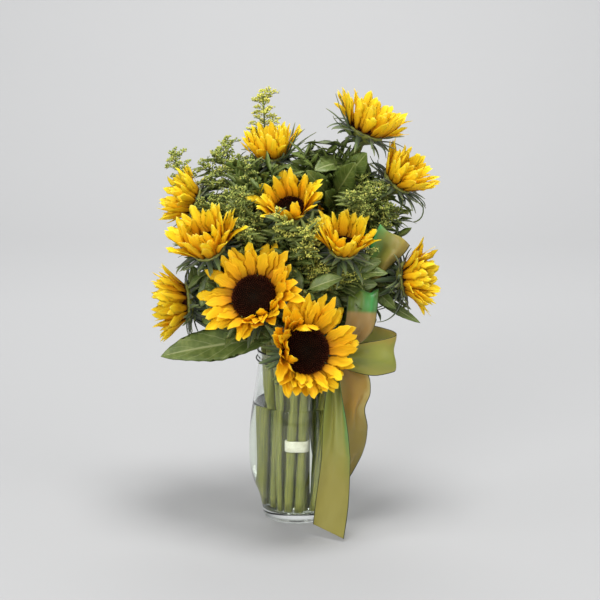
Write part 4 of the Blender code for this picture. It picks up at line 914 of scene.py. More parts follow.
def add_petals(name, petals):
    """Petals between and inside the solid's own, each in the first try where it crosses no other piece."""
    petal, lift = HEADS[name][3:5]
    owners = (name + "_crown", name + "_petals", name)
    draw = random.Random(name + "more")
    rows = OPEN_ROWS if is_open(name) else YOUNG_ROWS
    for row, (count, root_z, raised, share) in enumerate(rows):
        phase = draw.random()
        if row == 2 and name in SHOWS_DISC:
            continue
        for n in range(count):
            azimuth = TURN * (n + phase) / count + draw.uniform(-0.2, 0.2)
            start = math.radians(lift + raised + folded(name, azimuth) + draw.uniform(-8, 8))
            length = petal * share * draw.uniform(0.8, 1.1) * shorter_below(name, azimuth)
            width = petal * (draw.uniform(0.29, 0.4) if is_open(name) else draw.uniform(0.25, 0.35))
            curl, sway = math.radians(draw.uniform(-24, 26)), draw.uniform(-0.25, 0.25)
            for shorter, higher in MORE_TRIES:
                one = (azimuth, start + math.radians(higher), length * shorter, width, curl, sway, root_z)
                blade = petal_blades(name, [one])[0][0, :, :3]
                if blade[..., 1].max() < BACKMOST and is_free(owners, *faced(blade)):
                    petals.append(one)
                    break


def petal_look(add, ramp):
    """Living petal: satin and a little translucent, orange-brown at its base, which is partly its own colour
    and partly painted shade where the petals overlap by the disc, golden over its length and paler at its
    tip, with fine veins run lengthwise; each flower's petals differ a little in hue."""
    marks, _, y, z = read_marks(add)
    # the darkest stops, at the base, are partly the petal's own orange and partly painted shade of the
    # overlapping petals
    stops = list(zip((0.0, 0.12, 0.34, 0.6, 0.9, 1.0), ramp))
    along = add("ValToRGB", {"Fac": y}, stops=stops)
    stretched = add("Mapping", {"Vector": marks, "Scale": (5.0, 1.4, 37.0)})
    vein = add("TexNoise", {"Vector": stretched, "Scale": 1.5, "Detail": 4.0, "Roughness": 0.65})
    tone = add("MapRange", {
        "Value": vein, "From Min": 0.3, "From Max": 0.7, "To Min": 0.88, "To Max": 1.12})
    hue = add("MapRange", {"Value": z, "To Min": 0.494, "To Max": 0.508})
    shaded = add("HueSaturation", {"Hue": hue, "Value": tone, "Color": along})
    bump = add("Bump", {"Height": vein, "Strength": 0.35, "Distance": 0.0006})
    shader = add("BsdfPrincipled", {
        "Base Color": shaded, "Roughness": 0.6, "Normal": bump, "Specular IOR Level": 0.16})
    light = add("BsdfTranslucent", {"Color": shaded})
    return add("MixShader", {0: 0.34, 1: shader, 2: light})


# both ramps start orange-brown at the base: the petal's own orange, deepened by painted shade where petals
# overlap
OPEN_PETAL = finish("petal_of_an_open_flower", petal_look, (
    "#A0540A", "#CA880C", "#EEB412", "#FBCB1A", "#FFD824", "#F2D64C"))
YOUNG_PETAL = finish("petal_of_a_half_open_flower", petal_look, (
    "#AE6410", "#D89A14", "#F8C41A", "#FFDC24", "#FFE734", "#F6E464"))
petal_rows = {name: solid_petals(name) for name in HEADS}
for name, petals in petal_rows.items():
    for blade in petal_blades(name, petals)[0]:
        keep_clear(name + "_petals", *faced(blade[:, :3]))
for name, petals in petal_rows.items():
    own = len(petals)
    petals += [(*np.radians(row[:2]), *row[2:]) for row in EXTRA_PETALS.get(name, ())]
    add_petals(name, petals)
    grid, material = ((15, 7), OPEN_PETAL) if is_open(name) else ((12, 5), YOUNG_PETAL)
    mesh = skin(petal_blades(name, petals, grid))
    place(f"petals_{name}", mesh, material, "petal", [f"sunflower_{name}_petals"])
    for blade in petal_blades(name, petals)[0][own:]:
        keep_clear(name + "_petals", *faced(blade[:, :3]))


# ---------------------------------------------------------------- Sunflower bracts
# Rows of pointed green bracts on each cup, which wrapped the bud and curl back as the flower opens.
# They are stiff, keeled and hairy, and the longest stand out between the petals.

BRACT_HALF = 3.6
BRACT_THICK = 0.8
BRACT_ROWS = (  # number, share of the length, root height, share of a step that the row is turned
    (12, 1.0, -6.2, 0.0), (12, 0.9, -8.6, 0.5), (10, 0.7, -12.0, 0.2))
BRACT_TRIES = ((0, 1), (-12, 1), (-25, 0.9), (-40, 0.8), (-52, 0.6))


def tuft(step, lean, length, curl):
    """Long bracts all round a head, one each step of degrees, with leans and lengths that vary."""
    return [(turn, lean[0] - turn % lean[1], length[0] + turn % length[1], -11, curl, turn % 21 - 10)
            for turn in range(-170, 170, step)]


LONG_BRACTS = {  # azimuth and lean in degrees, length, root height, curl and sway in degrees
    "top_left": (
        (18, 40, 40, -9, -10, 8), (36, 52, 46, -10, 12, -6), (55, 38, 48, -9, -20, 4),
        (70, 56, 44, -10, 10, 10), (88, 44, 42, -9, -16, -8), (4, 30, 36, -10, 20, 0),
        (48, 24, 40, -12, 8, 6), (28, 60, 36, -8, -8, -4)),
    "top_right": (
        (60, 34, 40, -9, 10, 6), (76, 48, 44, -10, -14, -6), (92, 40, 46, -9, 12, 8),
        (108, 54, 42, -10, -8, 4), (124, 36, 40, -9, 14, -6), (84, 26, 38, -12, -20, 0),
        (-90, 30, 34, -10, -40, 0), (140, 30, 36, -10, 10, 0)),
    "right_upper": (
        (-84, 40, 56, -10, -175, -14), (-60, 20, 40, -12, -60, 10), (-120, 24, 38, -12, -40, -10)),
    "right": (
        *tuft(37, (-40, 17), (28, 13), -40), (-112, 6, 52, -12, -95, -20), (-70, 10, 44, -10, -80, 20),
        (170, 10, 34, -10, -60, 10)),
    "mid_right": ((-70, 4, 36, -12, -60, 0), (-110, 0, 38, -12, -70, 0), (150, 6, 36, -10, -50, 0)),
    "left": ((-140, 6, 36, -12, -60, 0),),
    "far_left_lower": tuft(15, (-44, 23), (34, 15), -15),
    "far_left_upper": tuft(43, (-30, 17), (26, 13), -30),
}


def bract_blades(name, bracts, grid=(13, 3)):
    """Bracts of one head from rows of (azimuth, lean, length, root height, curl, sway, number). Each is
    keeled by 0.3 of its half width, and curls by the power 1.5 of the share of its length."""
    azimuth, lift, length, root_z, curl, sway, vary = np.array(bracts).T
    s, t = np.linspace(0, 1, grid[0]), np.linspace(-1, 1, grid[1])
    roots, grows, faces = around_head(name, azimuth, sway, HEADS[name][2] - 2.0, root_z)
    half = BRACT_HALF * MM * np.maximum(lobed(s, 0.8, 0.22, 0.9), 0.04) * np.ones((len(azimuth), 1))
    lean = lift[:, None] + curl[:, None] * s ** 1.5
    raised = 0.3 * half[..., None] * t ** 2
    return blades(roots * MM, grows, faces, length * MM, lean, half, raised, BRACT_THICK * MM,
                  0.3 * curl, 0.3 * sway, vary)


def grow_bracts(name):
    """Each bract in the first of a few lower or shorter tries where it crosses no other piece."""
    draw = random.Random(name + "bracts")
    disc, lift = HEADS[name][2], HEADS[name][4]
    grown = [(*np.radians((azimuth, lean)), length, root_z, *np.radians((curl, sway)), 0.5)
             for azimuth, lean, length, root_z, curl, sway in LONG_BRACTS.get(name, ())]
    for count, share, root_z, turn in BRACT_ROWS:
        for n in range(count):
            azimuth = TURN * (n + turn + draw.uniform(-0.25, 0.25)) / count
            lean = lift * 0.55 + draw.uniform(-34, -10) + 2 * root_z + 12
            length = (0.5 * disc + 19) * share * draw.uniform(0.75, 1.3)
            curl, sway = math.radians(draw.uniform(-80, 50)), draw.uniform(-0.3, 0.3)
            vary = draw.random()
            for lowered, shorter in BRACT_TRIES:
                one = (azimuth, math.radians(lean + lowered), length * shorter, root_z, curl, sway, vary)
                blade = bract_blades(name, [one], (5, 3))[0][0, 1:, :3]
                if is_free((name, name + "_crown"), *faced(blade)):
                    grown.append(one)
                    break
    return grown


def bract_look(add):
    """Hairy bract: matt dark green, darker towards its base, with a paler tip."""
    _, _, y, z = read_marks(add)
    along = add("ValToRGB", {"Fac": y}, stops=[
        (0.0, "#2E3C1A"), (0.5, "#43552A"), (0.85, "#5E6E38"), (1.0, "#7E804A")])
    vary = add("MapRange", {"Value": z, "To Min": 0.7, "To Max": 1.25})
    shaded = add("HueSaturation", {"Value": vary, "Color": along})
    return add("BsdfPrincipled", {"Base Color": shaded, "Roughness": 0.65, "Sheen Weight": 0.15})


BRACT = finish("hairy_green_bract", bract_look)
for name in HEADS:
    rings, marks = bract_blades(name, grow_bracts(name))
    place(f"bracts_{name}", skin((rings, marks)), BRACT, "stem", [f"sunflower_{name}_stem"])
    for blade in rings[:, ::4, :3]:
        keep_clear(name, *faced(blade))


# ---------------------------------------------------------------- Leaves of the sunflowers
# Broad rough leaves on short stalks, heart-shaped to lance-shaped, folded along a pale midrib and
# waved at their toothed edges. The upper side is dark green, and one long leaf hangs out to the left.

STEM_LEAVES = {  # share of the way up the stem, direction, length, width, droop in degrees
    "front_left": ((0.74, (-0.95, -0.27, 0.14), 152, 44, 26), (0.9, (0.9, 0.1, 0.4), 50, 26, 20)),
    "far_left_lower": ((0.88, (0.1, -0.75, 0.5), 56, 28, 30), (0.8, (-0.3, 0.9, 0.3), 66, 36, 40)),
    "far_left_upper": ((0.9, (0.4, -0.5, 0.75), 56, 28, 30), (0.8, (-0.6, 0.75, 0.1), 66, 36, 40)),
    "left": ((0.88, (0.75, -0.3, 0.55), 62, 32, 30), (0.8, (-0.75, 0.3, 0.55), 60, 32, 30)),
    "top_left": ((0.9, (0.8, -0.3, 0.5), 62, 30, 20), (0.84, (-0.6, 0.6, 0.5), 64, 32, 20)),
    "top_right": ((0.9, (-0.6, 0.6, 0.5), 64, 32, 30), (0.82, (0.3, 0.9, 0.3), 68, 36, 30)),
    "right_upper": ((0.86, (0.8, -0.45, 0.0), 54, 24, 50), (0.78, (-0.2, 0.95, 0.2), 68, 36, 30)),
    "right": ((0.88, (0.35, -0.6, -0.5), 54, 22, 60), (0.74, (0.5, 0.8, 0.2), 68, 36, 40)),
    "mid_right": ((0.88, (0.7, -0.6, 0.1), 56, 28, 40), (0.8, (0.75, 0.5, 0.4), 62, 34, 30)),
    "middle": ((0.9, (-0.85, -0.3, 0.3), 58, 30, 30), (0.86, (0.85, -0.2, 0.3), 58, 30, 30)),
    "back": ((0.82, (-0.7, 0.6, 0.1), 74, 40, 40), (0.74, (0.75, 0.6, 0.1), 74, 40, 40)),
}
MORE_LEAVES = {  # place near the stem, direction, length, width, droop in degrees
    "mid_right": (
        ((50, -58, 305), (0.95, -0.3, 0.2), 60, 27, 25),
        ((48, -55, 282), (0.9, -0.45, -0.05), 56, 26, 30),
        ((50, -60, 315), (-0.5, -0.7, -0.3), 44, 18, 20)),
    "right": (
        ((95, -12, 272), (0.95, -0.25, -0.05), 58, 14, 10),
        ((100, -14, 285), (0.2, -0.8, 0.4), 44, 18, 20), ((108, -14, 292), (0.3, -0.5, 0.9), 40, 16, 20),
        ((90, -10, 262), (0.5, -0.8, -0.3), 46, 18, 20)),
    "right_upper": (
        ((100, 0, 385), (0.95, -0.3, 0.1), 46, 15, 70), ((95, 0, 375), (0.5, -0.8, 0.1), 44, 18, 40)),
    "middle": (
        ((-8, -38, 352), (-0.9, -0.4, 0.1), 50, 24, 30), ((-8, -36, 345), (0.8, -0.6, 0.0), 50, 24, 30),
        ((-8, -36, 335), (-0.1, -1.0, -0.2), 46, 20, 20)),
    "top_right": (
        ((75, 12, 440), (-0.85, -0.3, 0.4), 66, 32, 30), ((72, 12, 425), (-0.6, -0.8, 0.3), 60, 30, 40),
        ((78, 14, 448), (-0.5, -0.6, 0.9), 44, 20, 10)),
    "top_left": (
        ((-28, 18, 420), (0.9, -0.3, 0.4), 54, 24, 20), ((-26, 16, 408), (0.7, -0.7, 0.1), 50, 22, 30),
        ((-28, 18, 415), (-0.8, -0.5, 0.3), 50, 22, 30)),
    "left": (
        ((-98, -44, 318), (0.4, -0.8, -0.4), 50, 22, 20),
        ((-96, -42, 310), (-0.8, -0.5, -0.3), 50, 20, 20),
        ((-94, -40, 305), (0.8, -0.5, 0.2), 46, 20, 20)),
    "far_left_lower": (
        ((-112, -18, 268), (0.2, -0.7, -0.7), 52, 20, 15),
        ((-108, -18, 262), (0.6, -0.7, 0.3), 48, 20, 20)),
    "front_left": (
        ((-44, -66, 270), (-0.9, -0.1, 0.5), 44, 20, 20),
        ((-44, -66, 268), (0.9, 0.2, -0.3), 40, 18, 20)),
}
BROAD_LEAVES = {  # place near the stem, the tip, width, droop in degrees; all face the front
    "sprig_upper_right": (
        ((45, 8, 395), (66, -50, 437), 29, 8), ((44, 8, 387), (13, -44, 428), 25, 8),
        ((44, 8, 380), (36, -56, 408), 22, 8), ((45, 8, 395), (62, -52, 404), 22, 8)),
    "far_left_lower": (
        ((-108, -17, 270), (-104, -70, 296), 20, 10), ((-62, -11, 255), (-92, -68, 262), 20, 10),
        ((-49, -9, 242), (-116, -30, 250), 18, 10), ((-112, -20, 270), (-124, -46, 318), 20, 10),
        ((-100, -16, 268), (-84, -60, 300), 20, 10)),
    "left": (
        ((-70, -25, 291), (-102, -72, 280), 20, 10), ((-95, -42, 318), (-114, -62, 276), 22, 15),
        ((-95, -42, 312), (-98, -68, 262), 22, 15), ((-95, -42, 320), (-80, -66, 282), 22, 15)),
    "front_left": (
        ((-48, -66, 262), (-96, -56, 284), 16, 10), ((-46, -64, 255), (-92, -60, 250), 16, 10)),
    "right": (((95, -12, 270), (98, -64, 300), 18, 20), ((90, -10, 264), (150, -40, 267), 13, 6)),
    "mid_right": (
        ((48, -48, 314), (97, -60, 327), 22, 10), ((50, -52, 318), (84, -64, 334), 20, 10),
        ((48, -55, 290), (92, -60, 300), 24, 15), ((46, -52, 280), (84, -66, 284), 20, 15)),
}
LEAF_TRIES = [(shorter, swing, climb) for shorter in (1.0, 0.85, 0.7, 0.55)
              for swing in (0, 0.25, -0.25, 0.5, -0.5, 0.8, -0.8, 1.2, -1.2)
              for climb in (0, 0.2, -0.2, 0.45, -0.4)]
LEAF_THICK = 0.55
LONG_LEAF = (100, 9)  # a leaf longer than this in mm droops this many degrees less


def leaf_frame(root, way, facing=None):
    """The way a leaf grows and the way its upper side faces: outwards from the vase's axis and up."""
    way = unit(way)
    facing = unit((root[0], root[1], 0)) * 0.85 + (0, 0, 0.6) if facing is None else np.array(facing)
    return way, unit(facing - way * (facing @ way))


def tried(root, way, length, width, droop, tries):
    """A leaf's row again for each try: shorter, swung round the upright, and raised."""
    for shorter, swing, climb in tries:
        aimed = Matrix.Rotation(swing, 3, "Z") @ Vector(unit(way)) + Vector((0, 0, climb))
        yield root, np.array(aimed), length * shorter, width * shorter, droop


def solid_leaf(corners, leaf):
    """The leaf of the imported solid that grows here: the try whose tip is one of the solid's corners."""
    turn = -math.radians(leaf[4])
    for root, aimed, run, width, droop in tried(*leaf, LEAF_TRIES):
        grows, faces = leaf_frame(root, aimed)
        tip = root + grows * run * math.sin(turn) / turn + faces * run * (1 - math.cos(turn)) / turn
        if is_corner(tip, corners):
            return [(root, aimed, run, width, droop)]
    return []


def leaf_blades(leaves, seed, teeth=0.0, grid=(7, 3), broad=0.85):
    """Leaves from rows of (root in mm, direction, length, width, droop in degrees, way it faces if set).

    Each bends down evenly along its midrib. Half its width is sin(pi u ** broad) ** 0.75 over the blade,
    from u = 0 at the end of its stalk, with teeth along the edge. Its halves fold up from the midrib by a
    fifth of their width, puff up between the side veins, and wave at the edges.
    """
    count = len(leaves)
    draw = np.random.default_rng([ord(letter) for letter in seed])
    one = draw.uniform(-1, 1, (count, 6))
    s, t = np.linspace(0, 1, grid[0]), np.linspace(-1, 1, grid[1])
    framed = [leaf_frame(*leaf[:2], *leaf[5:]) for leaf in leaves]
    grows, faces = np.array([f[0] for f in framed]), np.array([f[1] for f in framed])
    roots = np.array([leaf[0] for leaf in leaves]) * MM
    length, width, droop = (np.array([leaf[k] for leaf in leaves], float) for k in (2, 3, 4))
    grown = np.clip((s - 0.12) / 0.88, 0, 1)
    shape = np.maximum(np.maximum(np.sin(np.pi * grown ** broad), 0) ** 0.75, 0.07 * (s < 0.9))
    toothed = 1 + teeth * (2 * np.abs((s * 11) % 1 - 0.5) - 0.5) * (grown > 0.1)
    half = 0.5 * width[:, None] * np.maximum(shape * toothed, 0.012) * MM
    lean = -np.radians(droop)[:, None] * s + np.radians(9 * one[:, :1]) * np.sin(TURN * (s + one[:, 1:2])) * s
    out = np.abs(t)
    fold = (0.2 + 0.12 * one[:, 2])[:, None, None] * out
    puff = 0.035 * np.cos(TURN * 7 * (s[:, None] - 0.28 * out)) * out * (1 - out)
    uneven = 1 + 0.6 * t * one[:, 4][:, None, None]
    wave = 0.13 * t ** 2 * np.sin(TURN * (2.3 * s + one[:, 3:4]))[..., None] * uneven
    ridge = -0.05 * np.exp(-(t / 0.12) ** 2)
    raised = half[..., None] * (fold + wave + ridge + 2.0 * puff)
    return blades(roots, grows, faces, length * MM, lean, half, raised, LEAF_THICK * MM,
                  np.radians(22) * one[:, 5], 0.04 * one[:, 1], draw.random(count))


def leaf_look(add, dark, mid, light, rib):
    """Living leaf: semi-gloss above, a little translucent, with a pale midrib, paler side veins that run
    forward from it, and green that is mottled in patches about 10 mm across."""
    _, x, y, z = read_marks(add)
    place_on = add("TexCoord").outputs["Object"]
    mottle = add("TexNoise", {"Vector": place_on, "Scale": 90.0, "Detail": 4.0, "Roughness": 0.6})
    ground = add("ValToRGB", {"Fac": mottle}, stops=[(0.3, dark), (0.5, mid), (0.75, light)])
    across = add("Math", {0: x}, operation="ABSOLUTE")
    slant = add("Math", {0: across, 1: -0.28, 2: y}, operation="MULTIPLY_ADD")
    rows = add("Math", {0: slant, 1: 7 * TURN}, operation="MULTIPLY")
    crest = add("Math", {0: rows}, operation="COSINE")
    side_vein = add("MapRange", {"Value": crest, "From Min": 0.9, "To Max": 0.32})
    midrib = add("MapRange", {
        "Value": across, "From Min": 0.03, "From Max": 0.09, "To Min": 0.75, "To Max": 0.0})
    veins = add("Math", {0: side_vein, 1: midrib}, operation="MAXIMUM")
    colour = add("Mix", {0: veins, 6: ground, 7: linear(rib)}, data_type="RGBA")
    vary = add("MapRange", {"Value": z, "To Min": 0.75, "To Max": 1.25})
    shaded = add("HueSaturation", {"Value": vary, "Color": colour.outputs[2]})
    bump = add("Bump", {"Height": veins, "Strength": 0.4, "Distance": -0.0008})
    shader = add("BsdfPrincipled", {
        "Base Color": shaded, "Roughness": 0.42, "Normal": bump, "Specular IOR Level": 0.4})
    light_through = add("BsdfTranslucent", {"Color": shaded})
    return add("MixShader", {0: 0.15, 1: shader, 2: light_through})


def grow_leaves(owner, leaves, tries=LEAF_TRIES[::13]):
    """Keeps the leaves of a list that cross nothing but their owner, each tried shorter and turned."""
    grown = []
    for leaf in leaves:
        options = [(*option, *leaf[5:]) for option in tried(*leaf[:5], tries)]
        rings, _ = leaf_blades(options, owner + "_green", grid=(6, 3))
        for option, ring in zip(options, rings):
            if is_free((owner,), *faced(ring[1:, :3])):
                grown.append(option)
                break
    return grown


def nearest_on(path, place_near):
    """The point of a path, of 60 even shares of its length, that is nearest a place in mm."""
    points = np.array([point_on(path, share)[0] for share in np.linspace(0.4, 0.985, 60)])
    return points[np.linalg.norm(points - place_near, axis=1).argmin()]


def broad_leaves(name):
    """Rows for leaf_blades of a stem's broad leaves, each grown straight to its tip."""
    rows = []
    for near, tip, width, droop in BROAD_LEAVES.get(name, ()):
        root = nearest_on(PATHS[name], near)
        rows.append((root, tip - root, np.linalg.norm(tip - root), width, droop, (0, -1, 0.35)))
    return rows


def solid_leaves(name, node, table, lower=0.0):
    """Rows of the leaves of a packed stem, found in its solid, and noted so that others keep clear."""
    corners = solid_points(node)
    leaves = []
    for share, *rest in table:
        leaves += solid_leaf(corners, (point_on(PATHS[name], share - lower)[0], *rest))
    leaves = [(*leaf[:4], leaf[4] - LONG_LEAF[1] * (leaf[2] > LONG_LEAF[0])) for leaf in leaves]
    for leaf in leaves:
        keep_clear(name, *faced(leaf_blades([leaf], name)[0][0, 1:, :3]))
    return leaves


SUNFLOWER_LEAF = finish("rough_sunflower_leaf", leaf_look, "#4C5C2A", "#647437", "#808C4C", "#A9AE78")
for name, table in STEM_LEAVES.items():
    leaves = solid_leaves(name, f"sunflower_{name}_stem", table)
    rows = [(nearest_on(PATHS[name], near), *rest) for near, *rest in MORE_LEAVES.get(name, ())]
    leaves += grow_leaves(name, broad_leaves(name) + rows, LEAF_TRIES[::3])
    if leaves:
        mesh = skin(leaf_blades(leaves, name, 0.05, (23, 9)))
        place(f"leaves_{name}", mesh, SUNFLOWER_LEAF, "leaf", [f"sunflower_{name}_stem"])


# ---------------------------------------------------------------- Leafy sprigs
# Woody stems with broad, smooth, pointed leaves that fill the arrangement between the flowers, a little
# darker than the sunflowers' own.

SPRIG_DROOP = 25.0
SPRIG_LEAF = finish("glossy_foliage_leaf", leaf_look, "#485A22", "#627432", "#828E46", "#A6AE6A")
for name, (_, table) in SPRIGS.items():
    width = STEM_R["sprig"] * MM * (1 + 0.06 * np.sin(0.9 * np.arange(40)))[:, None]
    leaves = solid_leaves(name, name, [(*row, SPRIG_DROOP) for row in table], 0.004)
    leaves += grow_leaves(name, broad_leaves(name), LEAF_TRIES[::3])
    stalk = rod_marks(rods(smooth_path(PATHS[name], 40) * MM, width, 8), random.Random(name).random())
    mesh = skin(stalk, leaf_blades(leaves, name, 0.0, (23, 9)))
    place(f"{name}_green", mesh, SPRIG_LEAF, "leaf", [name])


# ---------------------------------------------------------------- Goldenrod
# Plumes of goldenrod: arching side branches up the end of each stem, crowded along their upper side
# with florets about 2 mm across, yellow-green because few are open, and narrow leaves below them.

SOLID_BRANCHES = 7
PLUME_BRANCHES = 40
BRANCH_FLORETS = 34
BRANCH_ARCH = 0.9
TWIG_RADIUS = 0.4
FLORET_SIZE = (1.3, 1.3, 3.0)
FLORET_CORNERS = np.array([(0, 0, 0), (1, 0, 0.5), (0, 1, 0.5), (-1, 0, 0.5), (0, -1, 0.5), (0, 0, 1)])
FLORET_FACES = np.array([
    (0, 2, 1), (0, 3, 2), (0, 4, 3), (0, 1, 4), (5, 1, 2), (5, 2, 3), (5, 3, 4), (5, 4, 1)])


def arc_points(root, along, azimuth, length, lean):
    """Eight points of a branch that starts lean from its stem's own direction and arches over."""
    s = np.linspace(0, 1, 8)
    across = unit(np.cross(along, (math.cos(azimuth), math.sin(azimuth), 0.13)))
    outward = unit(np.cross(across, along))
    start = 0.5 * math.pi - lean
    bent = start - BRANCH_ARCH * s
    out = length * (np.sin(bent) - math.sin(start)) / -BRANCH_ARCH
    rise = length * (math.cos(start) - np.cos(bent)) / -BRANCH_ARCH
    return root + outward * out[:, None] + along * rise[:, None]


def ribbon_of(branch):
    """A branch as a flat ribbon in metres, 2.4 mm wide, for telling whether it is free."""
    return faced(np.stack([branch + (1.2, 0, 0), branch - (1.2, 0, 0)]) * MM)


def plume_branches(name, carried):
    """Paths in mm of a plume's branches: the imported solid's own, then more between them where they fit."""
    path = PATHS[name]
    total = np.linalg.norm(np.diff(path, axis=0), axis=1).sum()
    corners = solid_points(name)
    grown = []
    draw = random.Random(name)
    for n in range(SOLID_BRANCHES):
        down = ((n + 0.5) / SOLID_BRANCHES) ** 1.2
        length = carried * (0.2 + 0.24 * down) * draw.uniform(0.9, 1.1)
        azimuth, lean = n * GOLDEN_ANGLE + draw.uniform(-0.3, 0.3), draw.uniform(0.7, 1.0)
        root, along = point_on(path, 1 - down * carried / total)
        for swing in (0, 0.5, -0.5, 1.0, -1.0, 1.6):
            branch = arc_points(root, along, azimuth + swing, length, lean)
            if is_corner(branch[-1], corners):
                grown.append(branch)
                break
    for n in range(PLUME_BRANCHES):
        down = ((n + 0.2) / PLUME_BRANCHES) * 1.3
        length = carried * (0.12 + 0.24 * down) * draw.uniform(0.75, 1.2)
        azimuth, lean = 2 + n * GOLDEN_ANGLE + draw.uniform(-0.3, 0.3), draw.uniform(0.55, 1.05)
        root, along = point_on(path, 1 - down * carried / total)
        for swing in (0, 0.6, -0.6, 1.2, -1.2):
            branch = arc_points(root, along, azimuth + swing, length, lean)
            if is_free((name,), *ribbon_of(branch)):
                keep_clear(name, *ribbon_of(branch))
                grown.append(branch)
                break
    grown.append(arc_points(*point_on(path, 0.995), 0.0, 0.14 * carried, 0.2))
    return np.array(grown)


def plume_florets(name, branches, each=BRANCH_FLORETS):
    """Florets along the branches: buds of eight faces with a foot, a girth and a tip, which crowd the
    upper side. Marks: share of the floret's height, share of the branch, floret's number."""
    draw = np.random.default_rng([ord(letter) for letter in name])
    s = draw.uniform(0.12, 1.0, (len(branches), each)) ** 0.8
    at = np.stack([through(branch, share) for branch, share in zip(branches, s)]).reshape(-1, 3)
    total = len(at)
    spread = draw.normal(0, 1, (total, 3)) * 2.0
    spread[:, 2] = np.abs(spread[:, 2]) + 0.4
    base = at + spread * (1.15 - 0.7 * s.reshape(-1, 1) ** 3) * 0.75
    lean = unit(spread + (0, 0, 1.2) + draw.normal(0, 0.5, (total, 3)))
    side = unit(np.cross(lean, (0.31, 0.85, 0.2)))
    shape = FLORET_CORNERS * FLORET_SIZE * draw.uniform(0.6, 1.1, total)[:, None, None]
    corners = base[:, None] + shape @ np.stack([side, np.cross(lean, side), lean], 1)
    _, marks = marked(corners, FLORET_CORNERS[:, 2], s.reshape(-1, 1), draw.random(total)[:, None])
    mesh = bpy.data.meshes.new("florets")
    faces = FLORET_FACES + 6 * np.arange(total)[:, None, None]
    mesh.from_pydata(corners.reshape(-1, 3) * MM, [], faces.reshape(-1, 3))
    add_marks(mesh, marks)
    mesh.shade_smooth()
    return mesh


def goldenrod_look(add, ramp):
    """Goldenrod: yellow-green buds, each a shade of the ramp drawn by its own number, a little darker at its
    foot and paler at its tip.
    """
    _, x, _, z = read_marks(add)
    stops = list(zip((0.0, 0.4, 0.75, 1.0), ramp))
    kind = add("ValToRGB", {"Fac": z}, stops=stops)
    tip = add("MapRange", {"Value": x, "To Min": 0.85, "To Max": 1.1})
    shaded = add("HueSaturation", {"Value": tip, "Color": kind})
    shader = add("BsdfPrincipled", {"Base Color": shaded, "Roughness": 0.7, "Specular IOR Level": 0.2})
    light = add("BsdfTranslucent", {"Color": shaded})
    return add("MixShader", {0: 0.15, 1: shader, 2: light})


def level_way(azimuth):
    """The level direction at an azimuth."""
    return np.array([math.cos(azimuth), math.sin(azimuth), 0])


def narrow_leaves(name, count=34, lowest=0.45, highest=0.86, length=34, width=6.0):
    """Lance-shaped leaves up a stem, alternate by the golden angle, as rows for leaf_blades."""
    draw = random.Random(name + "narrow")
    rows = []
    for n in range(count):
        at, along = point_on(PATHS[name], lowest + (highest - lowest) * (n + 0.5) / count)
        way = level_way(n * GOLDEN_ANGLE + draw.uniform(-0.4, 0.4)) + along * draw.uniform(0.3, 1.1)
        size = length * draw.uniform(0.7, 1.15), width * draw.uniform(0.8, 1.2)
        rows.append((at, way, *size, draw.uniform(10, 50)))
    return grow_leaves(name, rows)


OPEN_GOLDENROD = finish("open_goldenrod", goldenrod_look, ("#B4BE58", "#CACC60", "#DAD468", "#E6DC70"))
GREEN_GOLDENROD = finish("goldenrod_in_bud", goldenrod_look, ("#86964A", "#A2AE58", "#BABE62", "#CCC664"))
GOLDENROD = {name: GREEN_GOLDENROD for name in PLUMES}
GOLDENROD.update({name: OPEN_GOLDENROD for name in ("goldenrod_top", "goldenrod_centre")})
FINE_LEAF = finish("young_goldenrod_leaf", leaf_look, "#505E2A", "#6E7B3A", "#8E984C", "#A0A462")
for name, (_, carried) in PLUMES.items():
    branches = plume_branches(name, carried)
    width = STEM_R["goldenrod"] * MM * np.linspace(1, 0.6, 40)[:, None]
    stalk = rod_marks(rods(smooth_path(PATHS[name], 40) * MM, width, 8), 0.5)
    twigs = rod_marks(np.concatenate([rods(branch * MM, TWIG_RADIUS * MM, 5) for branch in branches]), 0.6)
    mesh = skin(stalk, twigs, leaf_blades(narrow_leaves(name), name, 0, (8, 3), 0.7))
    place(f"{name}_green", mesh, FINE_LEAF, "leaf", [name])
    place(f"{name}_florets", plume_florets(name, branches), GOLDENROD[name], "goldenrod", [name])


# ---------------------------------------------------------------- Stems between the others
# Stems of foliage that stand in the gaps between the flower stems in the vase. Each leans on the glass
# where there is room, leaves the neck between its neighbours, and ends among the leaves above.

EXTRA_R = 3.4
EXTRA_STEMS = {  # which way each stands from the vase's axis in degrees, and about where it ends
    "gap_stem_left": (196, (-100, -42, 288)), "gap_stem_front_left": (226, (-84, -58, 262)),
    "gap_stem_front": (262, (-8, -72, 300)), "gap_stem_right": (330, (94, -50, 298)),
    "gap_stem_back": (60, (52, 70, 310))}
RUNS_DRAWN = 9000
BAND_REACH = 13.5


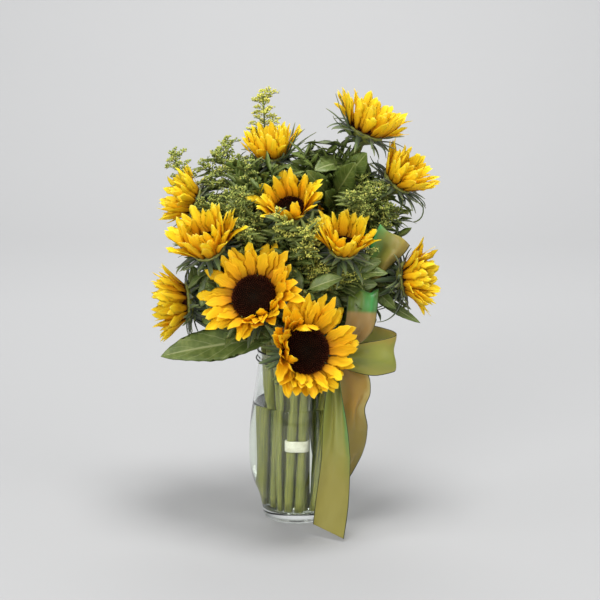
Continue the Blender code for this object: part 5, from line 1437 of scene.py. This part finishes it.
def clear_runs(aim, draw):
    """Straight runs through the vase that clear the other stems, the glass and the band, the ones nearest
    an angle first: random feet and necks, kept by the distance between segments."""
    angle = math.radians(aim) + draw.normal(0, 0.35, (2, RUNS_DRAWN))
    radius = 40.0 * draw.random((2, RUNS_DRAWN)) ** 0.35
    flat = radius[..., None] * np.stack([np.cos(angle), np.sin(angle)], -1)
    foot = np.concatenate([flat[0], np.full((RUNS_DRAWN, 1), FOOT_LEVEL)], 1)
    neck = np.concatenate([flat[1], np.full((RUNS_DRAWN, 1), NECK_LEVEL)], 1)
    others = np.array([path[:2] for path in PATHS.values()])
    wide = np.array([STEM_WIDTH[other] for other in PATHS])
    _, step = nearest(foot[:, None], neck[:, None], others[None, :, 0], others[None, :, 1])
    clear = (np.linalg.norm(step, axis=-1) > wide * 1.06 + EXTRA_R + 0.5).all(1)
    shares = np.linspace(0, 1, 11)
    levels = np.minimum(FOOT_LEVEL + shares * (NECK_LEVEL - FOOT_LEVEL), VASE_RIM)
    walls = glass_inside(levels) - 2.0 * np.maximum(0, 1 - (levels - VASE_FLOOR) / 17)
    at = foot[:, None] + (neck - foot)[:, None] * shares[None, :, None]
    clear &= (np.linalg.norm(at[..., :2], axis=-1) < walls - EXTRA_R - 0.6).all(1)
    in_band = foot + (neck - foot) * (BAND_LEVEL - FOOT_LEVEL) / (NECK_LEVEL - FOOT_LEVEL)
    clear &= np.linalg.norm(in_band[:, :2] - BAND_CENTRE, axis=1) > BAND_REACH + EXTRA_R
    order = [i for i in np.argsort(np.abs(angle - math.radians(aim)).sum(0)) if clear[i]]
    return [(foot[i], neck[i]) for i in order[:40]]


def room_for_stem(aim, wanted, draw):
    """The first clear run that a free curve carries on from the neck, to ends drawn round the wanted one.
    It comes with its tube, and both are None where no stem has room."""
    t = np.linspace(0, 1, CURVE_STEPS)[:, None]
    for foot, neck in clear_runs(aim, draw)[::3]:
        for n in range(30):
            end = np.array(wanted) + draw.normal(0, 4 + n, 3)
            reach = np.linalg.norm(end - neck)
            leaves = neck + unit(neck - foot) * 0.4 * reach
            nears = end - unit(unit(end - neck) + (0, 0, 0.4)) * 0.35 * reach
            path = np.vstack([foot, cubic(t, neck, leaves, nears, end)])
            tube = faced(rods(smooth_path(path, 20, 6) * MM, (EXTRA_R * 0.9 + 0.2) * MM, 5)[0], True)
            if is_free((), *tube):
                return path, tube
    return None, None


def extra_leaves(path, draw):
    """Rows for leaf_blades: broad leaves up the part of a stem that is above the vase."""
    rows = []
    for n in range(7):
        at, along = point_on(path, 1 - 0.035 * n)
        way = level_way(n * GOLDEN_ANGLE) + along * draw.uniform(0.4, 1.2)
        rows.append((at, way, draw.uniform(34, 48), draw.uniform(15, 22), draw.uniform(10, 45)))
    return rows


for name, (aim, wanted) in EXTRA_STEMS.items():
    draw = np.random.default_rng(aim)
    path, tube = room_for_stem(aim, wanted, draw)
    if path is None:
        continue
    PATHS[name] = path
    STEM_WIDTH[name] = EXTRA_R
    keep_clear(name, *tube)
    width = EXTRA_R * MM * np.linspace(1, 0.72, 44)[:, None] * (1 + 0.03 * np.cos(5 * np.arange(12)))
    stalk = rods(smooth_path(path) * MM, width, 12)
    place(f"{name}_stalk", skin(rod_marks(stalk, draw.random())), STALK, "stem")
    leaves = grow_leaves(name, extra_leaves(path, draw), LEAF_TRIES[::5])
    place(f"{name}_leaves", skin(leaf_blades(leaves, name, 0.03, (23, 9))), SUNFLOWER_LEAF, "leaf")


# ---------------------------------------------------------------- Side shoots
# Leafy side shoots that grow from the goldenrod and foliage stems above the neck of the vase and close
# the gaps between the heads. The goldenrod's end in small tight plumes, yellow-green like the rest.

SHOOTS_ABOVE = 232.0  # a shoot starts higher than this on its stem, in mm
SHOOT_SPACING = 17.0
SHOOT_REACH = (26, 120)
SHOOT_RADIUS = 1.0
LEAF_SPACING = 3.6
SCATTERED = 420
SHOOT_ROOM = ((0, 4, 346), (134, 96, 106))  # middle and reach of the egg that the scattered ones fill
LEFT_OPEN = ((40, -24, 424), 36.0)  # room in mm kept for the two broad leaves at the top
AIMED = (  # places in mm that the shoots reach before the scattered ones
    (8, -88, 366), (16, -84, 356), (0, -92, 356), (10, -86, 346), (-104, -30, 290), (-112, -36, 278),
    (14, 14, 446), (26, 20, 436), (4, 26, 452), (30, 4, 424), (-70, 10, 430), (-62, -4, 412),
    (-80, -10, 398), (-96, 30, 436), (-112, 24, 426), (-122, 20, 414), (-104, 6, 410), (-86, 20, 418),
    (-118, -10, 306), (-124, -2, 298), (-110, -20, 316), (-96, -46, 300), (-12, -60, 352), (-28, -58, 346),
    (4, -62, 344), (20, -62, 330), (30, -70, 318), (12, -74, 372), (24, -66, 384), (64, -10, 424),
    (60, 10, 440), (50, 20, 452), (112, -4, 378), (124, 10, 372), (104, -20, 362), (98, -40, 330),
    (86, -50, 318), (70, -64, 308), (84, -30, 296), (60, -50, 330),
)


def shoot_ends():
    """The places that shoots aim for: the aimed ones, then scattered ones in an egg round the heads."""
    draw = np.random.default_rng(SCATTERED)
    ways = unit(draw.normal(0, 1, (SCATTERED, 3)))
    out = draw.uniform(0.35, 1.0, (SCATTERED, 1)) ** 0.4
    return np.vstack([AIMED, ways * out * SHOOT_ROOM[1] + SHOOT_ROOM[0]])


def shoot_roots():
    """Where a shoot may start: (host, point, direction) up each goldenrod and foliage stem."""
    found = []
    for host in [*PLUMES, *SPRIGS]:
        for share in np.linspace(0.5, 0.96, 16):
            at, along = point_on(PATHS[host], share)
            if at[2] > SHOOTS_ABOVE:
                found.append((host, at, along))
    return found


def bowed(root, along, end):
    """A shoot's points: the curve that leaves half along its stem, and comes to its end more upright."""
    t, reach = np.linspace(0, 1, 10)[:, None], np.linalg.norm(end - root)
    leaves = root + unit(0.5 * along + unit(end - root)) * 0.4 * reach
    nears = end - unit(unit(end - root) + (0, 0, 0.7)) * 0.3 * reach
    return cubic(t, root, leaves, nears, end)


def grow_shoots():
    """The shoots that find room, by host: to each end from the nearest starts that a clear curve joins."""
    roots = shoot_roots()
    starts, rises = np.array([root[1] for root in roots]), np.array([root[2] for root in roots])
    grown = {}
    taken = np.array(stem_tips, float)
    for end in shoot_ends():
        crowded = np.linalg.norm(taken - end, axis=1).min() < SHOOT_SPACING
        if crowded or np.linalg.norm(end - LEFT_OPEN[0]) < LEFT_OPEN[1]:
            continue
        step = end - starts
        reach = np.linalg.norm(step, axis=1)
        cost = reach + 40 * (1 - (step * rises).sum(1) / reach)
        in_reach = (reach > SHOOT_REACH[0]) & (reach < SHOOT_REACH[1])
        for i in np.argsort(np.where(in_reach, cost, 999))[:9]:
            shoot = bowed(starts[i], rises[i], end)
            tube = rods(shoot * MM, 1.6 * MM, 4)[0]
            if is_free((roots[i][0],), *faced(tube[1:], True)):
                keep_clear(roots[i][0], *faced(tube, True))
                grown.setdefault(roots[i][0], []).append(shoot)
                taken = np.vstack([taken, end])
                break
    return grown


def shoot_leaves(shoot, draw, length, width):
    """Rows for leaf_blades up a shoot, alternate by the golden angle and shorter towards its end."""
    count = int(np.linalg.norm(np.diff(shoot, axis=0), axis=1).sum() / LEAF_SPACING)
    rows = []
    for n in range(count):
        share = 0.12 + 0.88 * (n + 0.5) / count
        at, along = point_on(shoot, share)
        way = level_way(n * GOLDEN_ANGLE + draw.uniform(-0.4, 0.4)) + along * draw.uniform(0.5, 1.3)
        size = (1.15 - 0.5 * share) * draw.uniform(0.75, 1.2)
        rows.append((at, way, length * size, width * size, draw.uniform(5, 50)))
    return rows


def shoot_plume(owner, shoot, draw):
    """Short branches up the last part of a goldenrod shoot."""
    branches = [arc_points(*point_on(shoot, 1 - 0.05 * n), n * GOLDEN_ANGLE, draw.uniform(7, 10) + 0.9 * n,
                           draw.uniform(0.5, 1.0)) for n in range(11)]
    return [branch for branch in branches if is_free((owner,), *ribbon_of(branch))]


for name, shoots in grow_shoots().items():
    draw = random.Random(name + "shoots")
    thins = np.linspace(1, 0.4, 10)[:, None]
    twigs = np.concatenate([rods(shoot * MM, SHOOT_RADIUS * MM * thins, 6) for shoot in shoots])
    size = (30, 6.0) if name in PLUMES else (34, 10.5)
    rows = [row for shoot in shoots for row in shoot_leaves(shoot, draw, *size)]
    parts = [rod_marks(twigs, 0.6), leaf_blades(grow_leaves(name, rows), name, broad=0.7)]
    if name in PLUMES:
        branches = np.array([branch for shoot in shoots for branch in shoot_plume(name, shoot, draw)])
        fine = np.concatenate([rods(branch * MM, TWIG_RADIUS * MM, 4) for branch in branches])
        parts.append(rod_marks(fine, 0.6))
        place(f"{name}_buds", plume_florets(name, branches, 16), GOLDENROD[name], "goldenrod", [name])
    place(f"{name}_shoots", skin(*parts), FINE_LEAF if name in PLUMES else SPRIG_LEAF, "leaf", [name])


# ---------------------------------------------------------------- The ribbon
# A wired bow of shot organza, about 40 mm wide, woven green one way and gold the other, so that it
# turns from emerald to bronze with its folds. Its loops and tails are pinched into pleats at a knot.

RIBBON_WIDTH = 40.0
RIBBON_THICK = 0.3
STRIP_ROWS, STRIP_POINTS = 96, 25
DEEPEST_PLEAT = 3.4
KNOT = (41, -49, 212)
KNOT_SIZE = (9.0, 7.5, 10.0)
KNOT_SHADES = ("#6F7C34", "#828838", "#8A8C3C", "#8C7A36")
RIBBON_STRIPS = {  # pleats, then the middle line and half the width, from the knot outwards
    "loop_right": (2.5, (
        ((42, -52, 211), (0, 1, 6)), ((64, -66, 214), (2, 0, 16)), ((92, -68, 214), (3, 2, 21)),
        ((111, -60, 216), (0, 0, 22)), ((115, -52, 218), (0, 0, 22)), ((108, -44, 221), (-1, 0, 22)),
        ((86, -40, 226), (-3, 0, 21)), ((62, -42, 223), (0, 0, 15)), ((43, -46, 214), (0, 1, 6)))),
    "loop_upper": (2.0, (
        ((40, -53, 214), (6, 0, 2)), ((54, -68, 232), (13, 2, -3)), ((70, -79, 252), (17, 4, -3)),
        ((75, -80, 274), (18, 6, -2)), ((77, -71, 291), (18, 6, 0)), ((77, -58, 290), (18, 6, 2)),
        ((74, -50, 272), (16, 5, 4)), ((58, -46, 243), (12, 3, 5)), ((41, -47, 215), (6, 0, 2)))),
    "loop_high": (1.5, (
        ((43, -46, 217), (5, 0, -2)), ((56, -36, 243), (8, 0, -4)), ((74, -33, 281), (9, 0, -5)),
        ((92, -37, 319), (12, -1, -8)), ((108, -40, 345), (17, -2, -12)), ((114, -37, 355), (18, -2, -12)),
        ((108, -31, 344), (17, -2, -12)), ((91, -28, 316), (12, -1, -8)), ((73, -25, 277), (9, 0, -5)),
        ((55, -30, 242), (8, 0, -4)), ((42, -45, 214), (5, 0, -2)))),
    "tail_front": (2.0, (
        ((40, -53, 210), (6, -1, 0)), ((45, -62, 180), (8, -5, 0)), ((46, -70, 141), (13, -8, 2)),
        ((45, -78, 94), (17, -11, 2)), ((42, -85, 47), (19, -11, -2)), ((37, -91, 9), (18, -12, -5)))),
    "tail_side": (1.5, (
        ((44, -50, 210), (5, 2, 0)), ((63, -55, 192), (18, 3, 2)), ((69, -56, 166), (18, 5, 2)),
        ((66, -54, 145), (14, 9, 0)), ((67, -53, 120), (16, 12, 0)), ((64, -50, 92), (15, 13, -2)),
        ((53, -46, 60), (8, 12, -5)))),
}
RIBBON_SHADES = {  # four colours across each strip near the knot, four far from it, where they change
    "loop_right": (
        ("#B0AA4E", "#9CA44A", "#AEAE52", "#BEAC52"), ("#B8B052", "#A2A84A", "#B2AE50", "#C0AC50"),
        (0.2, 0.4)),
    "loop_upper": (
        ("#A8884A", "#B4945A", "#BC9C62", "#A8904E"), ("#5E6E26", "#768A3A", "#52AA5A", "#4E7834"),
        (0.35, 0.38)),
    "loop_high": (
        ("#3EAE62", "#7C9A48", "#A08E40", "#6C5E28"), ("#3CB464", "#A0A04A", "#B4A04A", "#92803A"),
        (0.2, 0.5)),
    "tail_front": (
        ("#9CA84E", "#AAA850", "#A4AC56", "#78B066"), ("#A69C48", "#B2A856", "#AEA450", "#A29A46"),
        (0.35, 0.75)),
    "tail_side": (
        ("#AC963C", "#C09638", "#C6A244", "#DCCA7C"), ("#9C923C", "#A08C36", "#A28E3A", "#9C8E46"),
        (0.4, 0.7)),
}


def strip_rings(name):
    """One strip of ribbon as a closed thin sheet, and its marks (across, share of the length, 0).

    Where the strip is narrower than the ribbon it is pleated: it stands out by A sin(2 pi n t) with
    n pleats across, and A is what gives the pleated section the ribbon's whole width.
    """
    pleats, rows = RIBBON_STRIPS[name]
    s, t = np.linspace(0, 1, STRIP_ROWS), np.linspace(-1, 1, STRIP_POINTS)
    both = through([np.concatenate(row) for row in rows], s)
    middle, half = both[:, :3], both[:, 3:]
    along = unit(np.gradient(middle, axis=0))
    normal = unit(np.cross(along, half))
    wide = 2 * np.linalg.norm(half, axis=1)
    fuller = np.maximum((RIBBON_WIDTH / wide) ** 2 - 1, 0)
    deep = np.minimum(wide / (TURN * pleats) * np.sqrt(2 * fuller), DEEPEST_PLEAT)
    turned_by = random.Random(name).random()
    fold = deep[:, None] * np.sin(TURN * (pleats * (t + 1) / 2 + turned_by))
    soft = 1.5 * np.sin(TURN * (0.6 * t + 1.7 * s[:, None] + turned_by)) * np.sin(np.pi * s)[:, None]
    flat = middle[:, None] + half[:, None] * t[:, None] + (fold + soft)[..., None] * normal[:, None]
    thick = normal[:, None] * RIBBON_THICK / 2
    rings = np.concatenate([flat + thick, (flat - thick)[:, ::-1]], 1)
    return marked(rings[None] * MM, np.concatenate([t, t[::-1]]), s[:, None])


def organza_look(add, near, far, change):
    """Shot organza: a satin sheen, light through it, a weave drawn with threads 1 mm apart, coarser than
    the real ones so that they show, and a dark thread bound over the wire at each edge. It drifts
    between its shades from edge to edge, and from near the knot to far."""
    marks, x, y, _ = read_marks(add)
    stretched = add("Mapping", {"Vector": marks, "Scale": (1.1, 4.0, 1.0)})
    drift = add("TexNoise", {"Vector": stretched, "Scale": 1.6, "Detail": 2.0})
    moved = add("MapRange", {
        "Value": drift, "From Min": 0.3, "From Max": 0.7, "To Min": -0.14, "To Max": 0.14})
    share = add("MapRange", {"Value": x, "From Min": -1.0})
    place_in = add("Math", {0: share, 1: moved}, operation="ADD")
    across = [add("ValToRGB", {"Fac": place_in}, stops=list(zip((0.0, 0.35, 0.78, 1.0), shades)))
              for shades in (near, far)]
    gone = add("MapRange", {"Value": y, "From Min": change[0], "From Max": change[1]},
               interpolation_type="SMOOTHSTEP")
    shade = add("Mix", {0: gone, 6: across[0], 7: across[1]}, data_type="RGBA")
    away = add("Math", {0: x}, operation="ABSOLUTE")
    edge = add("MapRange", {"Value": away, "From Min": 0.945, "From Max": 0.965, "To Max": 0.9})
    colour = add("Mix", {0: edge, 6: shade.outputs[2], 7: linear("#33401C")}, data_type="RGBA")
    place_on = add("TexCoord").outputs["Object"]
    weave = add("TexWave", {"Vector": place_on, "Scale": 320.0, "Distortion": 0.5}, bands_direction="Z")
    bump = add("Bump", {"Height": weave.outputs["Fac"], "Strength": 0.15, "Distance": 0.0002})
    shader = add("BsdfPrincipled", {
        "Base Color": colour.outputs[2], "Roughness": 0.36, "Normal": bump,
        "Sheen Weight": 0.2, "Sheen Roughness": 0.3, "Specular IOR Level": 0.5})
    light_through = add("BsdfTranslucent", {"Color": colour.outputs[2]})
    lit = add("MixShader", {0: 0.35, 1: shader, 2: light_through})
    return add("MixShader", {0: 0.14, 1: lit, 2: add("BsdfTransparent")})


def knot_rings():
    """The knot: an upright egg whose girth is pleated by cos(9 a + 2 z), its poles closed by small rings."""
    rise = np.linspace(-math.pi / 2 + 0.12, math.pi / 2 - 0.12, 18)
    a = np.linspace(0, TURN, 54, endpoint=False)
    girth = np.cos(rise)[:, None] * (1 + 0.07 * np.cos(9 * a + 2 * rise[:, None]))
    level = np.broadcast_to(np.sin(rise)[:, None], girth.shape)
    points = np.stack([girth * np.cos(a), -girth * np.sin(a), level], -1) * KNOT_SIZE + KNOT
    return marked(points[None] * MM, 0.6 * np.sin(3 * a))


shades = finish("organza_knot", organza_look, KNOT_SHADES, KNOT_SHADES, (0.4, 0.6))
knot = place("ribbon_knot", skin(knot_rings()), shades, "ribbon", ["ribbon_bow"])
for name in RIBBON_STRIPS:
    rings, marks = strip_rings(name)
    length = np.linalg.norm(np.diff(rings[0, :, STRIP_POINTS // 2], axis=0), axis=1).sum()
    shades = finish("organza_" + name, organza_look, *RIBBON_SHADES[name])
    piece = place("ribbon_" + name, skin((rings, marks)), shades, "ribbon", ["ribbon_bow"])
    hangs = "hung" if "tail" in name else "gathered"


# ---------------------------------------------------------------- The florist's wire
# Thin steel wire with a dark green coat, wound once round the vase's neck under the lip, with a spur
# that is twisted into the back of the knot.

WIRE_LEVEL = 197.0
WIRE_RING = 48.6
WIRE_RADIUS = 0.9


def wire_look(add):
    """Green lacquered steel wire: dark, with a dull gloss."""
    return add("BsdfPrincipled", {"Base Color": linear("#26331F"), "Roughness": 0.4, "Metallic": 0.3})


a = np.linspace(0, TURN, 96, endpoint=False)
section = np.linspace(0, TURN, 8, endpoint=False)
out_r = WIRE_RING + WIRE_RADIUS * np.cos(section)
level = np.broadcast_to(WIRE_LEVEL + WIRE_RADIUS * np.sin(section), (96, 8))
ring = np.stack([np.cos(a)[:, None] * out_r, np.sin(a)[:, None] * out_r, level], -1)[None]
towards = unit((KNOT[0], KNOT[1], 0))
spur_ends = towards * (WIRE_RING - 0.3) + (0, 0, WIRE_LEVEL), np.array(KNOT) - towards * 7 - (0, 0, 4)
spur_path = np.linspace(*spur_ends, 6)
wire = skin((*marked(ring * MM), "loop"), marked(rods(spur_path, WIRE_RADIUS, 8) * MM))
place("bow_wire_round_neck", wire, finish("lacquered_florists_wire", wire_look), "wire", ["bow_wire"])


# ---------------------------------------------------------------- The paper band
# A strip of waxed cream paper, glued to itself, that still holds three of the stems in a bunch.

BAND_WALL = 1.2
BAND_BOTTOM, BAND_TOP = BAND_LEVEL - BAND_HEIGHT / 2, BAND_LEVEL + BAND_HEIGHT / 2
BAND_SECTION = (  # distance from the stems, and level
    (0.0, BAND_BOTTOM + 0.4), (0.3, BAND_BOTTOM),
    (BAND_WALL - 0.3, BAND_BOTTOM), (BAND_WALL, BAND_BOTTOM + 0.4),
    (BAND_WALL, BAND_TOP - 0.4), (BAND_WALL - 0.3, BAND_TOP),
    (0.3, BAND_TOP), (0.0, BAND_TOP - 0.4))


def band_outline(offset, turns):
    """The outline round the banded stems: at each angle, the point that reaches farthest that way of
    circles round the stems at the band's two edges."""
    circles = []
    for name in BANDED:
        foot, neck = PATHS[name][:2]
        for level in (BAND_BOTTOM, BAND_TOP):
            circles.append((foot + (neck - foot) * (level - foot[2]) / (neck[2] - foot[2]))[:2])
    ways = np.stack([np.cos(turns), np.sin(turns)], -1)
    farthest = np.argmax(ways @ np.array(circles).T, axis=1)
    return np.array(circles)[farthest] + ways * (STEM_R["sunflower"] * 1.06 + 0.4 + offset)


def band_look(add):
    """Waxed paper: warm white with a soft gloss and a faint mottle where the water has soaked in."""
    place_on = add("TexCoord").outputs["Object"]
    soaked = add("TexNoise", {"Vector": place_on, "Scale": 180.0, "Detail": 3.0})
    colour = add("ValToRGB", {"Fac": soaked}, stops=[(0.35, "#D6D4BC"), (0.65, "#EDEBDA")])
    return add("BsdfPrincipled", {"Base Color": colour, "Roughness": 0.5})


turns = np.linspace(0, TURN, 120, endpoint=False)
flat = [np.column_stack([band_outline(offset, turns), np.full(120, level)]) for offset, level in BAND_SECTION]
band = skin((np.stack(flat, 1)[None] * MM, None, "loop"))
place("paper_band", band, finish("waxed_paper_band", band_look), "band", ["stem_band"])
